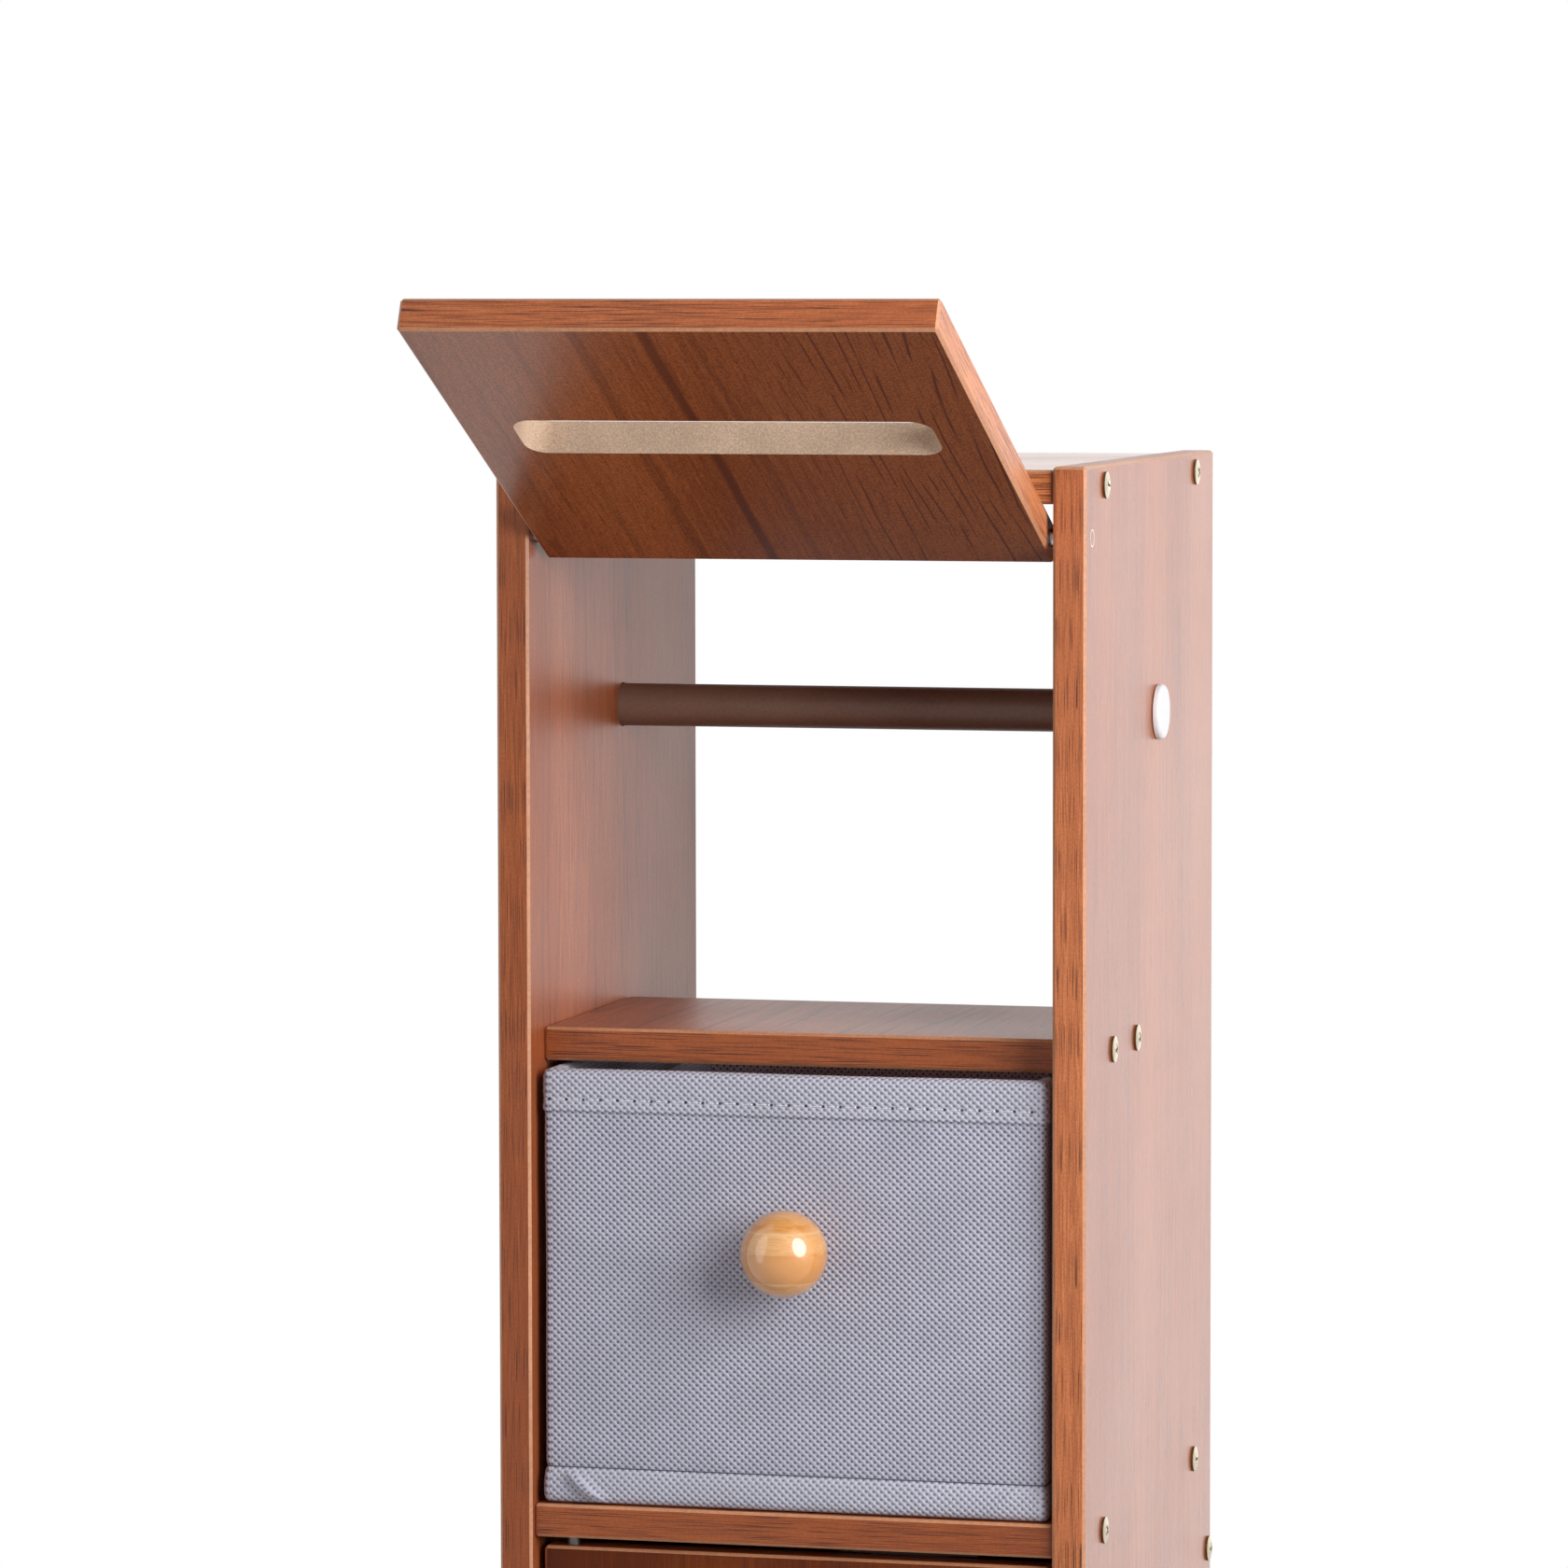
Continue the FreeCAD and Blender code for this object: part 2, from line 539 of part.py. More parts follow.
def lid():
    """Lid that turns on two pins near its tail; the free end points forwards and up at rest."""
    body = board("lid_panel", LID_WIDTH, f"({LID_REACH} + Sizes.lid_tail)", THICK, below=LID_REACH)
    through = f"({THICK} + Sizes.overrun)"
    outline = new_sketch(body, "lid_slot", "XY_Plane", THICK)
    rectangle(outline, SLOT_LENGTH, "Sizes.slot_width",
              below="Sizes.slot_reach + Sizes.slot_width / 2")
    slot = pocket(body, outline, through)
    corners = [name for name in edges_along(slot, Vector(0, 0, 1)) if inside_board(slot, name)]
    rounding = body.newObject("PartDesign::Fillet", "lid_slot_corners")
    rounding.Base = (slot, corners)
    rounding.setExpression("Radius", "Sizes.slot_corner_radius")
    body.Tip = rounding
    pins = drill(body, "pin_holes", "YZ_Plane", f"{LID_WIDTH} / 2", [(None, HALF_THICK)],
                 "(Sizes.lid_pin_radius + Sizes.pin_running_fit)",
                 "(Sizes.lid_pin_grip + Sizes.pin_end_room)")
    mirror(body, pins, "YZ_Plane")
    lift = f"{HALF_THICK} * cos(Sizes.lid_open_angle * 1 deg)"
    shift = f"{HALF_THICK} * sin(Sizes.lid_open_angle * 1 deg)"
    place(body, "0", f"{FRONT} + Sizes.lid_pivot_setback - {shift}", f"{LID_PIVOT_HEIGHT} - {lift}",
          Vector(1, 0, 0), "-Sizes.lid_open_angle")

    pin = doc.addObject("Part::Cylinder", "lid_pin")
    pin.setExpression("Radius", "Sizes.lid_pin_radius")
    pin.setExpression("Height", LID_PIN_LENGTH)
    sites = [(f"-{HALF_WIDTH}", f"{FRONT} + Sizes.lid_pivot_setback", LID_PIVOT_HEIGHT),
             (f"{HALF_WIDTH} - {LID_PIN_LENGTH}", f"{FRONT} + Sizes.lid_pivot_setback", LID_PIVOT_HEIGHT)]
    copies("lid_pivot_pins", pin, sites, Vector(0, 1, 0), "90")


# Tells a slot corner from the board's own corners: it lies inside the board's outline.
def inside_board(feature, edge_name):
    middle = feature.Shape.getElement(edge_name).CenterOfMass
    box = feature.Shape.BoundBox
    edge_room = 2 * sheet.get("edge_bevel")
    across = box.XMin + edge_room < middle.x < box.XMax - edge_room
    along = box.YMin + edge_room < middle.y < box.YMax - edge_room
    return across and along


def roll_rod():
    """Rod through the right panel into the left one, with a push-in cap as its head."""
    body = new_body("roll_rod")
    section = new_sketch(body, "rod_section", "YZ_Plane")
    circles(section, [(None, None)], "Sizes.rod_radius")
    rod = pad(body, section, ROD_LENGTH)
    doc.recompute()
    rims = [f"Edge{number}" for number, edge in enumerate(rod.Shape.Edges, start=1) if edge.isClosed()]
    bevel(body, rod, rims, "Sizes.rod_bevel")
    drill(body, "cap_hole", "YZ_Plane", ROD_LENGTH, [(None, None)],
          "(Sizes.cap_spigot_radius + Sizes.pin_seat_fit)",
          "(Sizes.cap_spigot_length + Sizes.pin_end_room)")
    place(body, ROD_START, f"{FRONT} + Sizes.rod_setback", ROD_HEIGHT)

    cap = new_body("rod_end_cap")
    head = new_sketch(cap, "cap_head", "YZ_Plane")
    circles(head, [(None, None)], "Sizes.cap_radius")
    disc = pad(cap, head, "Sizes.cap_height")
    doc.recompute()
    outer = [f"Edge{number}" for number, edge in enumerate(disc.Shape.Edges, start=1)
             if edge.isClosed() and edge.CenterOfMass.x > disc.Shape.CenterOfMass.x]
    rounding = cap.newObject("PartDesign::Fillet", "cap_rounding")
    rounding.Base = (disc, outer)
    rounding.setExpression("Radius", "Sizes.cap_rounding")
    cap.Tip = rounding
    spigot = new_sketch(cap, "cap_spigot", "YZ_Plane")
    circles(spigot, [(None, None)], "Sizes.cap_spigot_radius")
    pad(cap, spigot, "Sizes.cap_spigot_length").Reversed = True
    place(cap, f"{HALF_WIDTH} + Sizes.cap_seat_gap", f"{FRONT} + Sizes.rod_setback", ROD_HEIGHT)


# Screw hole for the knob through the front wall of a drawer piece.
def knob_hole(body):
    drill(body, "knob_hole", "XZ_Plane", "0", [(None, DRAWER_KNOB_RISE)], KNOB_HOLE,
          f"({DRAWER_WALL} + Sizes.overrun)")


# Box piece of the drawer in the drawer's own frame: origin at the middle of its lower front edge.
def drawer_block(name, across, deep, low, floor, tall, left=None):
    body = new_body(name)
    outline = new_sketch(body, name + "_outline", "XY_Plane", floor)
    rectangle(outline, across, deep, left=left, low=low)
    pad(body, outline, tall)
    place(body, "0", DRAWER_FRONT, DRAWER_FLOOR)
    return body


def drawer_cover():
    """Sewn cover: plain walls, a hem turned over the top edge and a border along the foot."""
    wall_width = f"({DRAWER_WIDTH} - 2 * Sizes.hem_step)"
    wall_depth = f"({DRAWER_DEPTH} - 2 * Sizes.hem_step)"
    body = drawer_block("drawer_fabric", wall_width, wall_depth, "Sizes.hem_step", "0", DRAWER_HEIGHT)
    bands = (("hem", f"({DRAWER_HEIGHT} - Sizes.hem_height)", "Sizes.hem_height"),
             ("border", "0", "Sizes.border_height"))
    for name, floor, tall in bands:
        outline = new_sketch(body, "drawer_" + name, "XY_Plane", floor)
        rectangle(outline, DRAWER_WIDTH, DRAWER_DEPTH)
        band = pad(body, outline, tall)
    rounding = body.newObject("PartDesign::Fillet", "drawer_corners")
    rounding.Base = (band, edges_along(band, Vector(0, 0, 1)))
    rounding.setExpression("Radius", "Sizes.drawer_corner_radius")
    body.Tip = rounding
    inside = new_sketch(body, "drawer_card_space", "XY_Plane", "Sizes.fabric_thickness")
    rectangle(inside, CARD_SPACE_WIDTH, CARD_SPACE_DEPTH, low=CARD_INSET)
    pocket(body, inside, CARD_HEIGHT, along_normal=True)
    mouth = new_sketch(body, "drawer_mouth", "XY_Plane", DRAWER_HEIGHT)
    rectangle(mouth, LINING_WIDTH, LINING_DEPTH, low=LINING_INSET)
    pocket(body, mouth, "(Sizes.fabric_thickness + Sizes.overrun)")
    knob_hole(body)


def drawer_boards():
    """Card stiffeners inside the cover: front, back, two sides and a base."""
    back_low = f"({CARD_INSET} + {CARD_SPACE_DEPTH} - Sizes.card_thickness)"
    front = drawer_block("drawer_front_board", CARD_SPACE_WIDTH, "Sizes.card_thickness", CARD_INSET,
                         "Sizes.fabric_thickness", CARD_HEIGHT)
    knob_hole(front)
    drawer_block("drawer_back_board", CARD_SPACE_WIDTH, "Sizes.card_thickness", back_low,
                 "Sizes.fabric_thickness", CARD_HEIGHT)
    left_edge = f"({CARD_SPACE_WIDTH} / 2)"
    drawer_block("drawer_left_board", "Sizes.card_thickness", LINING_DEPTH, LINING_INSET,
                 "Sizes.fabric_thickness", CARD_HEIGHT, left=left_edge)
    right = drawer_block("drawer_right_board", "Sizes.card_thickness", LINING_DEPTH, LINING_INSET,
                         "Sizes.fabric_thickness", CARD_HEIGHT, left="Sizes.card_thickness")
    right.setExpression("Placement.Base.x", left_edge)
    drawer_block("drawer_base_board", LINING_WIDTH, LINING_DEPTH, LINING_INSET,
                 "Sizes.fabric_thickness", "Sizes.card_thickness")


def drawer_lining():
    """Open fabric tray inside the boards, level with the hem."""
    lining = drawer_block("drawer_lining", LINING_WIDTH, LINING_DEPTH, LINING_INSET, LINING_FLOOR,
                          f"({DRAWER_HEIGHT} - {LINING_FLOOR})")
    hollow = new_sketch(lining, "lining_hollow", "XY_Plane", f"({LINING_FLOOR} + Sizes.fabric_thickness)")
    rectangle(hollow, f"({LINING_WIDTH} - 2 * Sizes.fabric_thickness)",
              f"({LINING_DEPTH} - 2 * Sizes.fabric_thickness)", low=DRAWER_WALL)
    pocket(lining, hollow, DRAWER_HEIGHT, along_normal=True)
    knob_hole(lining)


# Turned ball with a flat seat at the back and a blind screw hole, pointing forwards.
def ball_knob(name, x, seat_y, z):
    ball = doc.addObject("Part::Sphere", name + "_ball")
    ball.setExpression("Radius", "Sizes.knob_radius")
    ball.setExpression("Angle1", "-acos(Sizes.knob_seat_radius / Sizes.knob_radius)")
    hole = doc.addObject("Part::Cylinder", name + "_hole")
    hole.setExpression("Radius", KNOB_HOLE)
    hole.setExpression("Height", f"{KNOB_HOLE_DEPTH} + Sizes.overrun")
    hole.setExpression("Placement.Base.z", f"-{KNOB_SEAT} - Sizes.overrun")
    knob = doc.addObject("Part::Cut", name)
    knob.Label = name
    knob.Base = ball
    knob.Tool = hole
    place(knob, x, f"{seat_y} - {KNOB_SEAT}", z, Vector(1, 0, 0), "90")
    nodes[name] = knob


def drawer_knob():
    """Ball knob on the drawer's front, held by a screw and washer from inside."""
    height = f"{DRAWER_FLOOR} + {DRAWER_KNOB_RISE}"
    ball_knob("drawer_knob", "0", f"{DRAWER_FRONT} + Sizes.hem_step", height)
    washer = new_body("drawer_knob_washer")
    ring = new_sketch(washer, "washer_ring", "XZ_Plane")
    circles(ring, [(None, None)], "Sizes.washer_radius")
    pad(washer, ring, "Sizes.washer_thickness")
    drill(washer, "hole", "XZ_Plane", "Sizes.washer_thickness", [(None, None)], KNOB_HOLE,
          "(Sizes.washer_thickness + Sizes.overrun)")
    washer_back = f"{DRAWER_FRONT} + {DRAWER_WALL} + Sizes.washer_thickness"
    place(washer, "0", washer_back, height)
    body = screw("drawer_knob_screw", "knob_screw", f"({DRAWER_KNOB_GRIP} + Sizes.knob_screw_bite)")
    place(body, "0", washer_back, height, Vector(1, 0, 0), "-90")


def door():
    """Inset door on two pins at its left edge, with a ball knob and a strike plate."""
    body = board("door_panel", DOOR_WIDTH, THICK, DOOR_HEIGHT,
                 left="Sizes.door_pivot_inset", below=HALF_THICK)
    pin_hole = "(Sizes.door_pin_radius + Sizes.pin_running_fit)"
    pin_depth = "(Sizes.door_pin_grip + Sizes.pin_end_room)"
    drill(body, "lower_pin", "XY_Plane", "0", [(None, None)], pin_hole, pin_depth, True)
    drill(body, "upper_pin", "XY_Plane", DOOR_HEIGHT, [(None, None)], pin_hole, pin_depth)
    drill(body, "knob_hole", "XZ_Plane", HALF_THICK, [(DOOR_KNOB_REACH, DOOR_KNOB_RISE)], KNOB_HOLE,
          f"({THICK} + Sizes.overrun)")
    strike_site = (STRIKE_REACH, f"{STRIKE_TOP} - Sizes.strike_screw_drop")
    drill(body, "strike_pilot", "XZ_Plane", f"-{HALF_THICK}", [strike_site], SMALL_SCREW_HOLE,
          STRIKE_PILOT_DEPTH, True)
    pivot_y = f"({FRONT} + {DOOR_PIVOT_DEPTH})"
    place(body, DOOR_PIVOT_X, pivot_y, DOOR_LOW)

    pin = doc.addObject("Part::Cylinder", "door_pin")
    pin.setExpression("Radius", "Sizes.door_pin_radius")
    pin.setExpression("Height", DOOR_PIN_LENGTH)
    sites = [(DOOR_PIVOT_X, pivot_y, f"{BOTTOM_TOP} - Sizes.door_pin_seat"),
             (DOOR_PIVOT_X, pivot_y, f"{DRAWER_SHELF_LOW} + Sizes.door_pin_seat - {DOOR_PIN_LENGTH}")]
    copies("door_pivot_pins", pin, sites, Vector(0, 0, 1), "0")

    knob_x = f"{DOOR_PIVOT_X} + {DOOR_KNOB_REACH}"
    knob_z = f"{DOOR_LOW} + {DOOR_KNOB_RISE}"
    door_front = f"{FRONT} + Sizes.door_setback"
    door_back = f"{door_front} + {THICK}"
    ball_knob("door_knob", knob_x, door_front, knob_z)
    fixing = screw("door_knob_screw", "knob_screw", f"({THICK} + Sizes.knob_screw_bite)")
    place(fixing, knob_x, door_back, knob_z, Vector(1, 0, 0), "-90")

    strike = new_body("door_strike_plate")
    plate = new_sketch(strike, "strike_outline", "XZ_Plane")
    rectangle(plate, "Sizes.strike_width", "Sizes.strike_height")
    pad(strike, plate, "Sizes.strike_thickness")
    hole_rise = "(Sizes.strike_height - Sizes.strike_screw_drop)"
    drill(strike, "hole", "XZ_Plane", "Sizes.strike_thickness", [(None, hole_rise)], SMALL_SCREW_HOLE,
          "(Sizes.strike_thickness + Sizes.overrun)")
    strike_back = f"{door_back} + Sizes.strike_thickness"
    strike_low = f"{DOOR_LOW} + {STRIKE_TOP} - Sizes.strike_height"
    place(strike, CATCH_X, strike_back, strike_low)
    strike_screw = screw("door_strike_screw", "small_screw", "Sizes.small_screw_length")
    place(strike_screw, CATCH_X, strike_back, f"{strike_low} + {hole_rise}", Vector(1, 0, 0), "-90")


def door_catch():
    """Magnetic catch under the drawer shelf: flanged housing, magnet and two screws."""
    housing = new_body("door_catch_housing")
    block = new_sketch(housing, "catch_block", "XY_Plane")
    rectangle(block, "Sizes.catch_block_width", "Sizes.catch_depth")
    pad(housing, block, "Sizes.catch_height")
    flange_floor = "(Sizes.catch_height - Sizes.catch_flange)"
    flange = new_sketch(housing, "catch_flanges", "XY_Plane", flange_floor)
    rectangle(flange, "Sizes.catch_width", "Sizes.catch_depth")
    pad(housing, flange, "Sizes.catch_flange")
    seat = new_sketch(housing, "catch_magnet_seat", "XZ_Plane")
    rectangle(seat, "(Sizes.magnet_width + 2 * Sizes.pin_seat_fit)",
              "(Sizes.magnet_height + 2 * Sizes.pin_seat_fit)",
              low="(Sizes.magnet_rise - Sizes.pin_seat_fit)")
    pocket(housing, seat, "Sizes.magnet_depth")
    holes = drill(housing, "screw_holes", "XY_Plane", "Sizes.catch_height",
                  [("Sizes.catch_screw_spacing / 2", "Sizes.catch_depth / 2")], SMALL_SCREW_HOLE,
                  "(Sizes.catch_flange + Sizes.overrun)")
    mirror(housing, holes, "YZ_Plane")
    catch_y = f"{FRONT} + {CATCH_DEPTH_IN_RACK}"
    place(housing, CATCH_X, catch_y, f"{DRAWER_SHELF_LOW} - Sizes.catch_height")

    magnet = new_body("door_catch_magnet")
    outline = new_sketch(magnet, "magnet_outline", "XY_Plane", "Sizes.magnet_rise")
    rectangle(outline, "Sizes.magnet_width", "Sizes.magnet_depth")
    pad(magnet, outline, "Sizes.magnet_height")
    place(magnet, CATCH_X, catch_y, f"{DRAWER_SHELF_LOW} - Sizes.catch_height")

    master = screw("catch_screw", "small_screw", "Sizes.small_screw_length", kept=False)
    sites = [
        (f"{CATCH_X} {sign} Sizes.catch_screw_spacing / 2", f"{FRONT} + {CATCH_SCREW_DEPTH}",
         f"{DRAWER_SHELF_LOW} - Sizes.catch_flange")
        for sign in "-+"
    ]
    copies("door_catch_screws", master, sites, Vector(1, 0, 0), "180")


def check():
    """Stops if any object failed, any cut took nothing away or any node is not sound."""
    doc.recompute()
    for obj in doc.Objects:
        if "Invalid" in obj.State or "Error" in obj.State:
            raise RuntimeError(f"{obj.Name} failed: {obj.State}")
        if obj.TypeId == "PartDesign::Pocket" and obj.Shape.Volume >= obj.BaseFeature.Shape.Volume:
            raise RuntimeError(f"{obj.Name} cuts nothing")
    for name, obj in nodes.items():
        if obj.Shape.isNull() or not obj.Shape.isValid() or not obj.Shape.Solids:
            raise RuntimeError(f"{name} has no sound solid")


def write_parts():
    """Writes each node's shape to its own file."""
    os.makedirs("parts", exist_ok=True)
    for name, obj in nodes.items():
        obj.Shape.exportStep(f"parts/{name}.step")


carcass()
panel_screws()
lid()
roll_rod()
drawer_cover()
drawer_boards()
drawer_lining()
drawer_knob()
door()
door_catch()
check()
write_parts()
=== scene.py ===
import functools
import math
import random

import bmesh
import bpy
from bpy.props import FloatProperty, FloatVectorProperty, PointerProperty
from mathutils import Euler, Matrix, Vector, noise


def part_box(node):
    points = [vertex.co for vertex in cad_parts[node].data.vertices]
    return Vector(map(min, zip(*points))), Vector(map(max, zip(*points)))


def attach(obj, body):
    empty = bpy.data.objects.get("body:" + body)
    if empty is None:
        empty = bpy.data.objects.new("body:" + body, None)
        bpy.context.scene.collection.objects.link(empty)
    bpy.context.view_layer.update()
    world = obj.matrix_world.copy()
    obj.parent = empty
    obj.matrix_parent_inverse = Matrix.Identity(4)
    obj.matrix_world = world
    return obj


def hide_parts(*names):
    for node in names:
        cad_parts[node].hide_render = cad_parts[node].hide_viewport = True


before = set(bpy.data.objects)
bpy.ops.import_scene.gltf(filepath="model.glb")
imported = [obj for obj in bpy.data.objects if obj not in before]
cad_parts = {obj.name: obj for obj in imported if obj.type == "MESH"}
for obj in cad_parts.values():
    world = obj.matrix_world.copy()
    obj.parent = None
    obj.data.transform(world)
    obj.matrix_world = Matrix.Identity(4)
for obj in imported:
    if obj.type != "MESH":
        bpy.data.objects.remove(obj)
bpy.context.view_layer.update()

# Finishes, cloth and screws of a slim bathroom storage rack, with its studio.
bl_info = {
    "name": "Slim Storage Rack",
    "version": (1, 0, 0),
    "blender": (4, 5, 0),
    "location": "3D View > Sidebar > Rack",
    "description": "Dresses the slim bathroom storage rack and sets up its studio",
    "category": "Object",
}

MM = 0.001
AXES = range(3)
QUARTER_TURN = math.pi / 2
WHITE = (1.0, 1.0, 1.0, 1.0)

# Ways that wood grain runs: up, front to back, from side to side, and along the slope of the open lid.
UPRIGHT, DEEP, ACROSS, SLOPED = "upright", "deep", "across", "sloped"
LID_TILT = math.radians(25)
GRAIN_TURNS = {
    UPRIGHT: (0.0, 0.0, 0.0),
    DEEP: (QUARTER_TURN, 0.0, 0.0),
    ACROSS: (0.0, -QUARTER_TURN, 0.0),
    SLOPED: (LID_TILT + QUARTER_TURN, 0.0, 0.0),
}

# Boards: the look of their faces, and the bands of their edges along X, Y and Z.
PLAIN_EDGES = (ACROSS, DEEP, UPRIGHT)
SHELF_EDGES = ("shelf", DEEP, UPRIGHT)
# The shelf, top, right and lid edge bands are darker or paler copies of the laminate: painted shade and
# painted light.
BOARDS = {
    "left_side_panel": ("upright", PLAIN_EDGES),
    "right_side_panel": ("upright", (ACROSS, DEEP, "right")),
    "back_panel": ("upright", PLAIN_EDGES),
    "top_panel": ("top", ("top", DEEP, UPRIGHT)),
    "roll_shelf": ("deep", SHELF_EDGES),
    "drawer_shelf": ("deep", SHELF_EDGES),
    "bottom_panel": ("deep", SHELF_EDGES),
    "door_panel": ("door", PLAIN_EDGES),
    "lid_panel": ("lid", ("lid_front", "lid_side", "lid_side")),
}
BOARD_TILTS = {"lid_panel": LID_TILT}
SIDE_PANELS = ("left_side_panel", "right_side_panel")
FACE_GRAIN = {
    "upright": UPRIGHT,
    "inner": UPRIGHT,
    "deep": DEEP,
    "top": DEEP,
    "lid": SLOPED,
    "door": UPRIGHT,
}

# Laminates: shares of veins and pores, added roughness, share of pits darkened as painted shade and index
# of refraction.
LAMINATE_LOOKS = {
    "upright": (0.25, 0.4, 0.0, 0.16, 1.4),
    "inner": (0.4, 0.4, 0.18, 0.16, 1.4),
    "deep": (0.6, 0.4, 0.18, 0.16, 1.4),
    "top": (0.6, 0.4, 0.0, 0.16, 1.4),
    "lid": (0.35, 0.4, 0.0, 0.42, 1.4),
    "door": (0.5, 0.95, 0.3, 0.16, 1.22),
    "band": (0.12, 0.9, 0.14, 0.16, 1.4),
}

# Edge bands: the way of their grain, and the shares by which they scale the boards' tones. Shares under 1
# are painted shade on the shelves' front edges; shares over 1 are painted light on the edges of the top,
# the right panel and the lid, from the lamp at the right and from above.
EDGE_BANDS = {
    ACROSS: (ACROSS, (1.0, 1.0, 1.0)),
    DEEP: (DEEP, (1.0, 1.0, 1.0)),
    UPRIGHT: (UPRIGHT, (1.0, 1.0, 1.0)),
    "shelf": (ACROSS, (0.8, 0.73, 0.67)),
    "top": (ACROSS, (1.6, 1.85, 2.0)),
    "right": (UPRIGHT, (1.53, 1.85, 2.2)),
    "lid_front": (ACROSS, (1.4, 1.55, 1.75)),
    "lid_side": (SLOPED, (1.4, 1.75, 2.1)),
}

# Material slots of a board, three of them for its edges, and how its facets are told apart.
FACE_SLOT, EDGE_SLOT, BEVEL_SLOT, CUT_SLOT, INNER_SLOT = 0, 1, 4, 5, 6
FLAT_COSINE = 0.99
PLANE_SLACK = 0.05 * MM
BEVEL_REACH = 0.85 * MM
TURNED_SHARP = math.radians(40)

# Layers of the wood grain: repeats in a metre across, across and along the grain, and detail.
WARP_LAYER = ((60.0, 60.0, 14.0), 2.0)
BAND_LAYER = ((24.0, 24.0, 1.1), 1.0)
LINE_LAYER = ((700.0, 700.0, 16.0), 2.0)
FIBRE_LAYER = ((3200.0, 3200.0, 130.0), 1.0)
PORE_LAYER = ((6200.0, 6200.0, 62.0), 0.0)
FADE_LAYER = ((21.0, 21.0, 2.6), 1.0)
WARP_REACH = 2.2 * MM
RINGS = 19.0
RING_RISE = (0.62, 0.95)
RING_FALL = (0.95, 1.0)
FADE_RANGE = (0.3, 0.6)
BREAK_RANGE = (0.34, 0.6)
TONE_RANGE = (0.4, 0.62)
PORE_RANGE = (0.59, 0.67)
TONE_SHARES = (0.48, 0.22, 0.3)
PORE_SINK_SHARE = 0.7
GRAIN_BUMP_SHARE = 0.5

# Long veins of the lid: place, width and share of each, and the layers that bend, spread and break them.
FIGURE_VEINS = (
    (-6.6 * MM, 2.3 * MM, 0.75),
    (-26.0 * MM, 2.6 * MM, 0.4),
    (-44.0 * MM, 1.8 * MM, 0.25),
    (7.0 * MM, 1.8 * MM, 0.3),
)
VEIN_CORE_SHARE = 0.25
FIGURE_BEND_LAYER = ((14.0, 9.0, 9.0), 2.0)
FIGURE_BEND = 5.0 * MM
FIGURE_SPREAD_LAYER = ((38.0, 6.0, 6.0), 1.0)
FIGURE_SPREAD = 4.5
FIGURE_BREAK_LAYER = ((420.0, 30.0, 30.0), 1.0)
FIGURE_BREAK_RANGE = (0.36, 0.56)
FINE_VEIN_PITCH = 3.3 * MM
FINE_VEIN_RANGE = (0.02, 0.16)
FINE_VEIN_REACH = (-2.0 * MM, 42.0 * MM)
FINE_VEIN_SHARE = 0.9
RIGHT_SHADE_SHARE = 0.22

# Painted end of a lid pin
PIN_RING_RANGE = (2.1 * MM, 2.25 * MM)
PIN_RING_PALE = (0.95, 0.86, 0.78)

# Fine skin of the hard finishes with its smudges, and the depth, pits and spread of the laminate's; the
# pits are darkened as painted shade.
PEEL_CELLS = 1400.0
PEEL_DETAIL = 1.5
PEEL_DEPTH = 0.02 * MM
PEEL_PIT_SHADE_RANGE = (0.55, 0.42)
SMUDGE_CELLS = 14.0
SMUDGE_DETAIL = 3.0
LAMINATE_SPREAD = 0.12

# Speckled finishes: cells in a metre, share of contrast, depth, roughness, its spread, metal and index.
SPECKLED_LOOKS = {
    "bevel_line": (900.0, 0.12, 0.02 * MM, 0.42, 0.15, 0.0, 1.5),
    "raw_fibreboard": (2000.0, 0.22, 0.06 * MM, 0.9, 0.15, 0.0, 1.5),
    "yellow_zinc": (700.0, 0.1, 0.01 * MM, 0.3, 0.25, 1.0, 1.5),
    # Darker zinc for the screws' rims and recesses: painted shade, and on the rims a painted reflection of
    # the dark panel.
    "shaded_zinc": (700.0, 0.15, 0.01 * MM, 0.4, 0.25, 1.0, 1.5),
    "bright_steel": (600.0, 0.12, 0.01 * MM, 0.32, 0.3, 1.0, 1.5),
    "dull_steel": (600.0, 0.15, 0.01 * MM, 0.5, 0.15, 1.0, 1.5),
    "rod_paint": (1100.0, 0.1, 0.03 * MM, 0.5, 0.15, 0.0, 1.5),
    "cap_plastic": (800.0, 0.03, 0.012 * MM, 0.38, 0.15, 0.0, 1.35),
    "catch_plastic": (900.0, 0.1, 0.02 * MM, 0.45, 0.15, 0.0, 1.5),
    "ferrite": (1500.0, 0.35, 0.03 * MM, 0.6, 0.15, 0.0, 1.5),
    "grey_card": (1300.0, 0.25, 0.05 * MM, 0.92, 0.15, 0.0, 1.5),
    "sewing_thread": (3000.0, 0.12, 0.02 * MM, 0.45, 0.15, 0.0, 1.5),
}
SPECK_DETAIL = 3.0
SPECK_RANGE = (0.55, 1.05)
CLOUD_CELLS = 45.0
CLOUD_DETAIL = 2.0
CLOUD_SHARE = 0.6

# Varnished knobs: their lower ring's place and the rings' pitch are shares of a knob's height.
KNOB_FINENESS = 0.4
KNOB_VEIN_SHARE = 0.9
KNOB_PORE_SHARE = 0.45
KNOB_GRAIN_DEPTH = 0.012 * MM
KNOB_RING_SHARE = 0.1939
KNOB_PITCH_SHARE = 0.5796
KNOB_RING_TONE = (0.3, 0.75)
KNOB_RING_LINE = (0.008, 0.035)
KNOB_TONE_SHARE = 0.8
KNOB_LINE_SHARE = 0.22
KNOB_ROUGHNESS = 0.34
KNOB_SPREAD = 0.1
KNOB_COAT = {"Coat Weight": 1.0, "Coat Roughness": 0.05, "Coat IOR": 1.65}
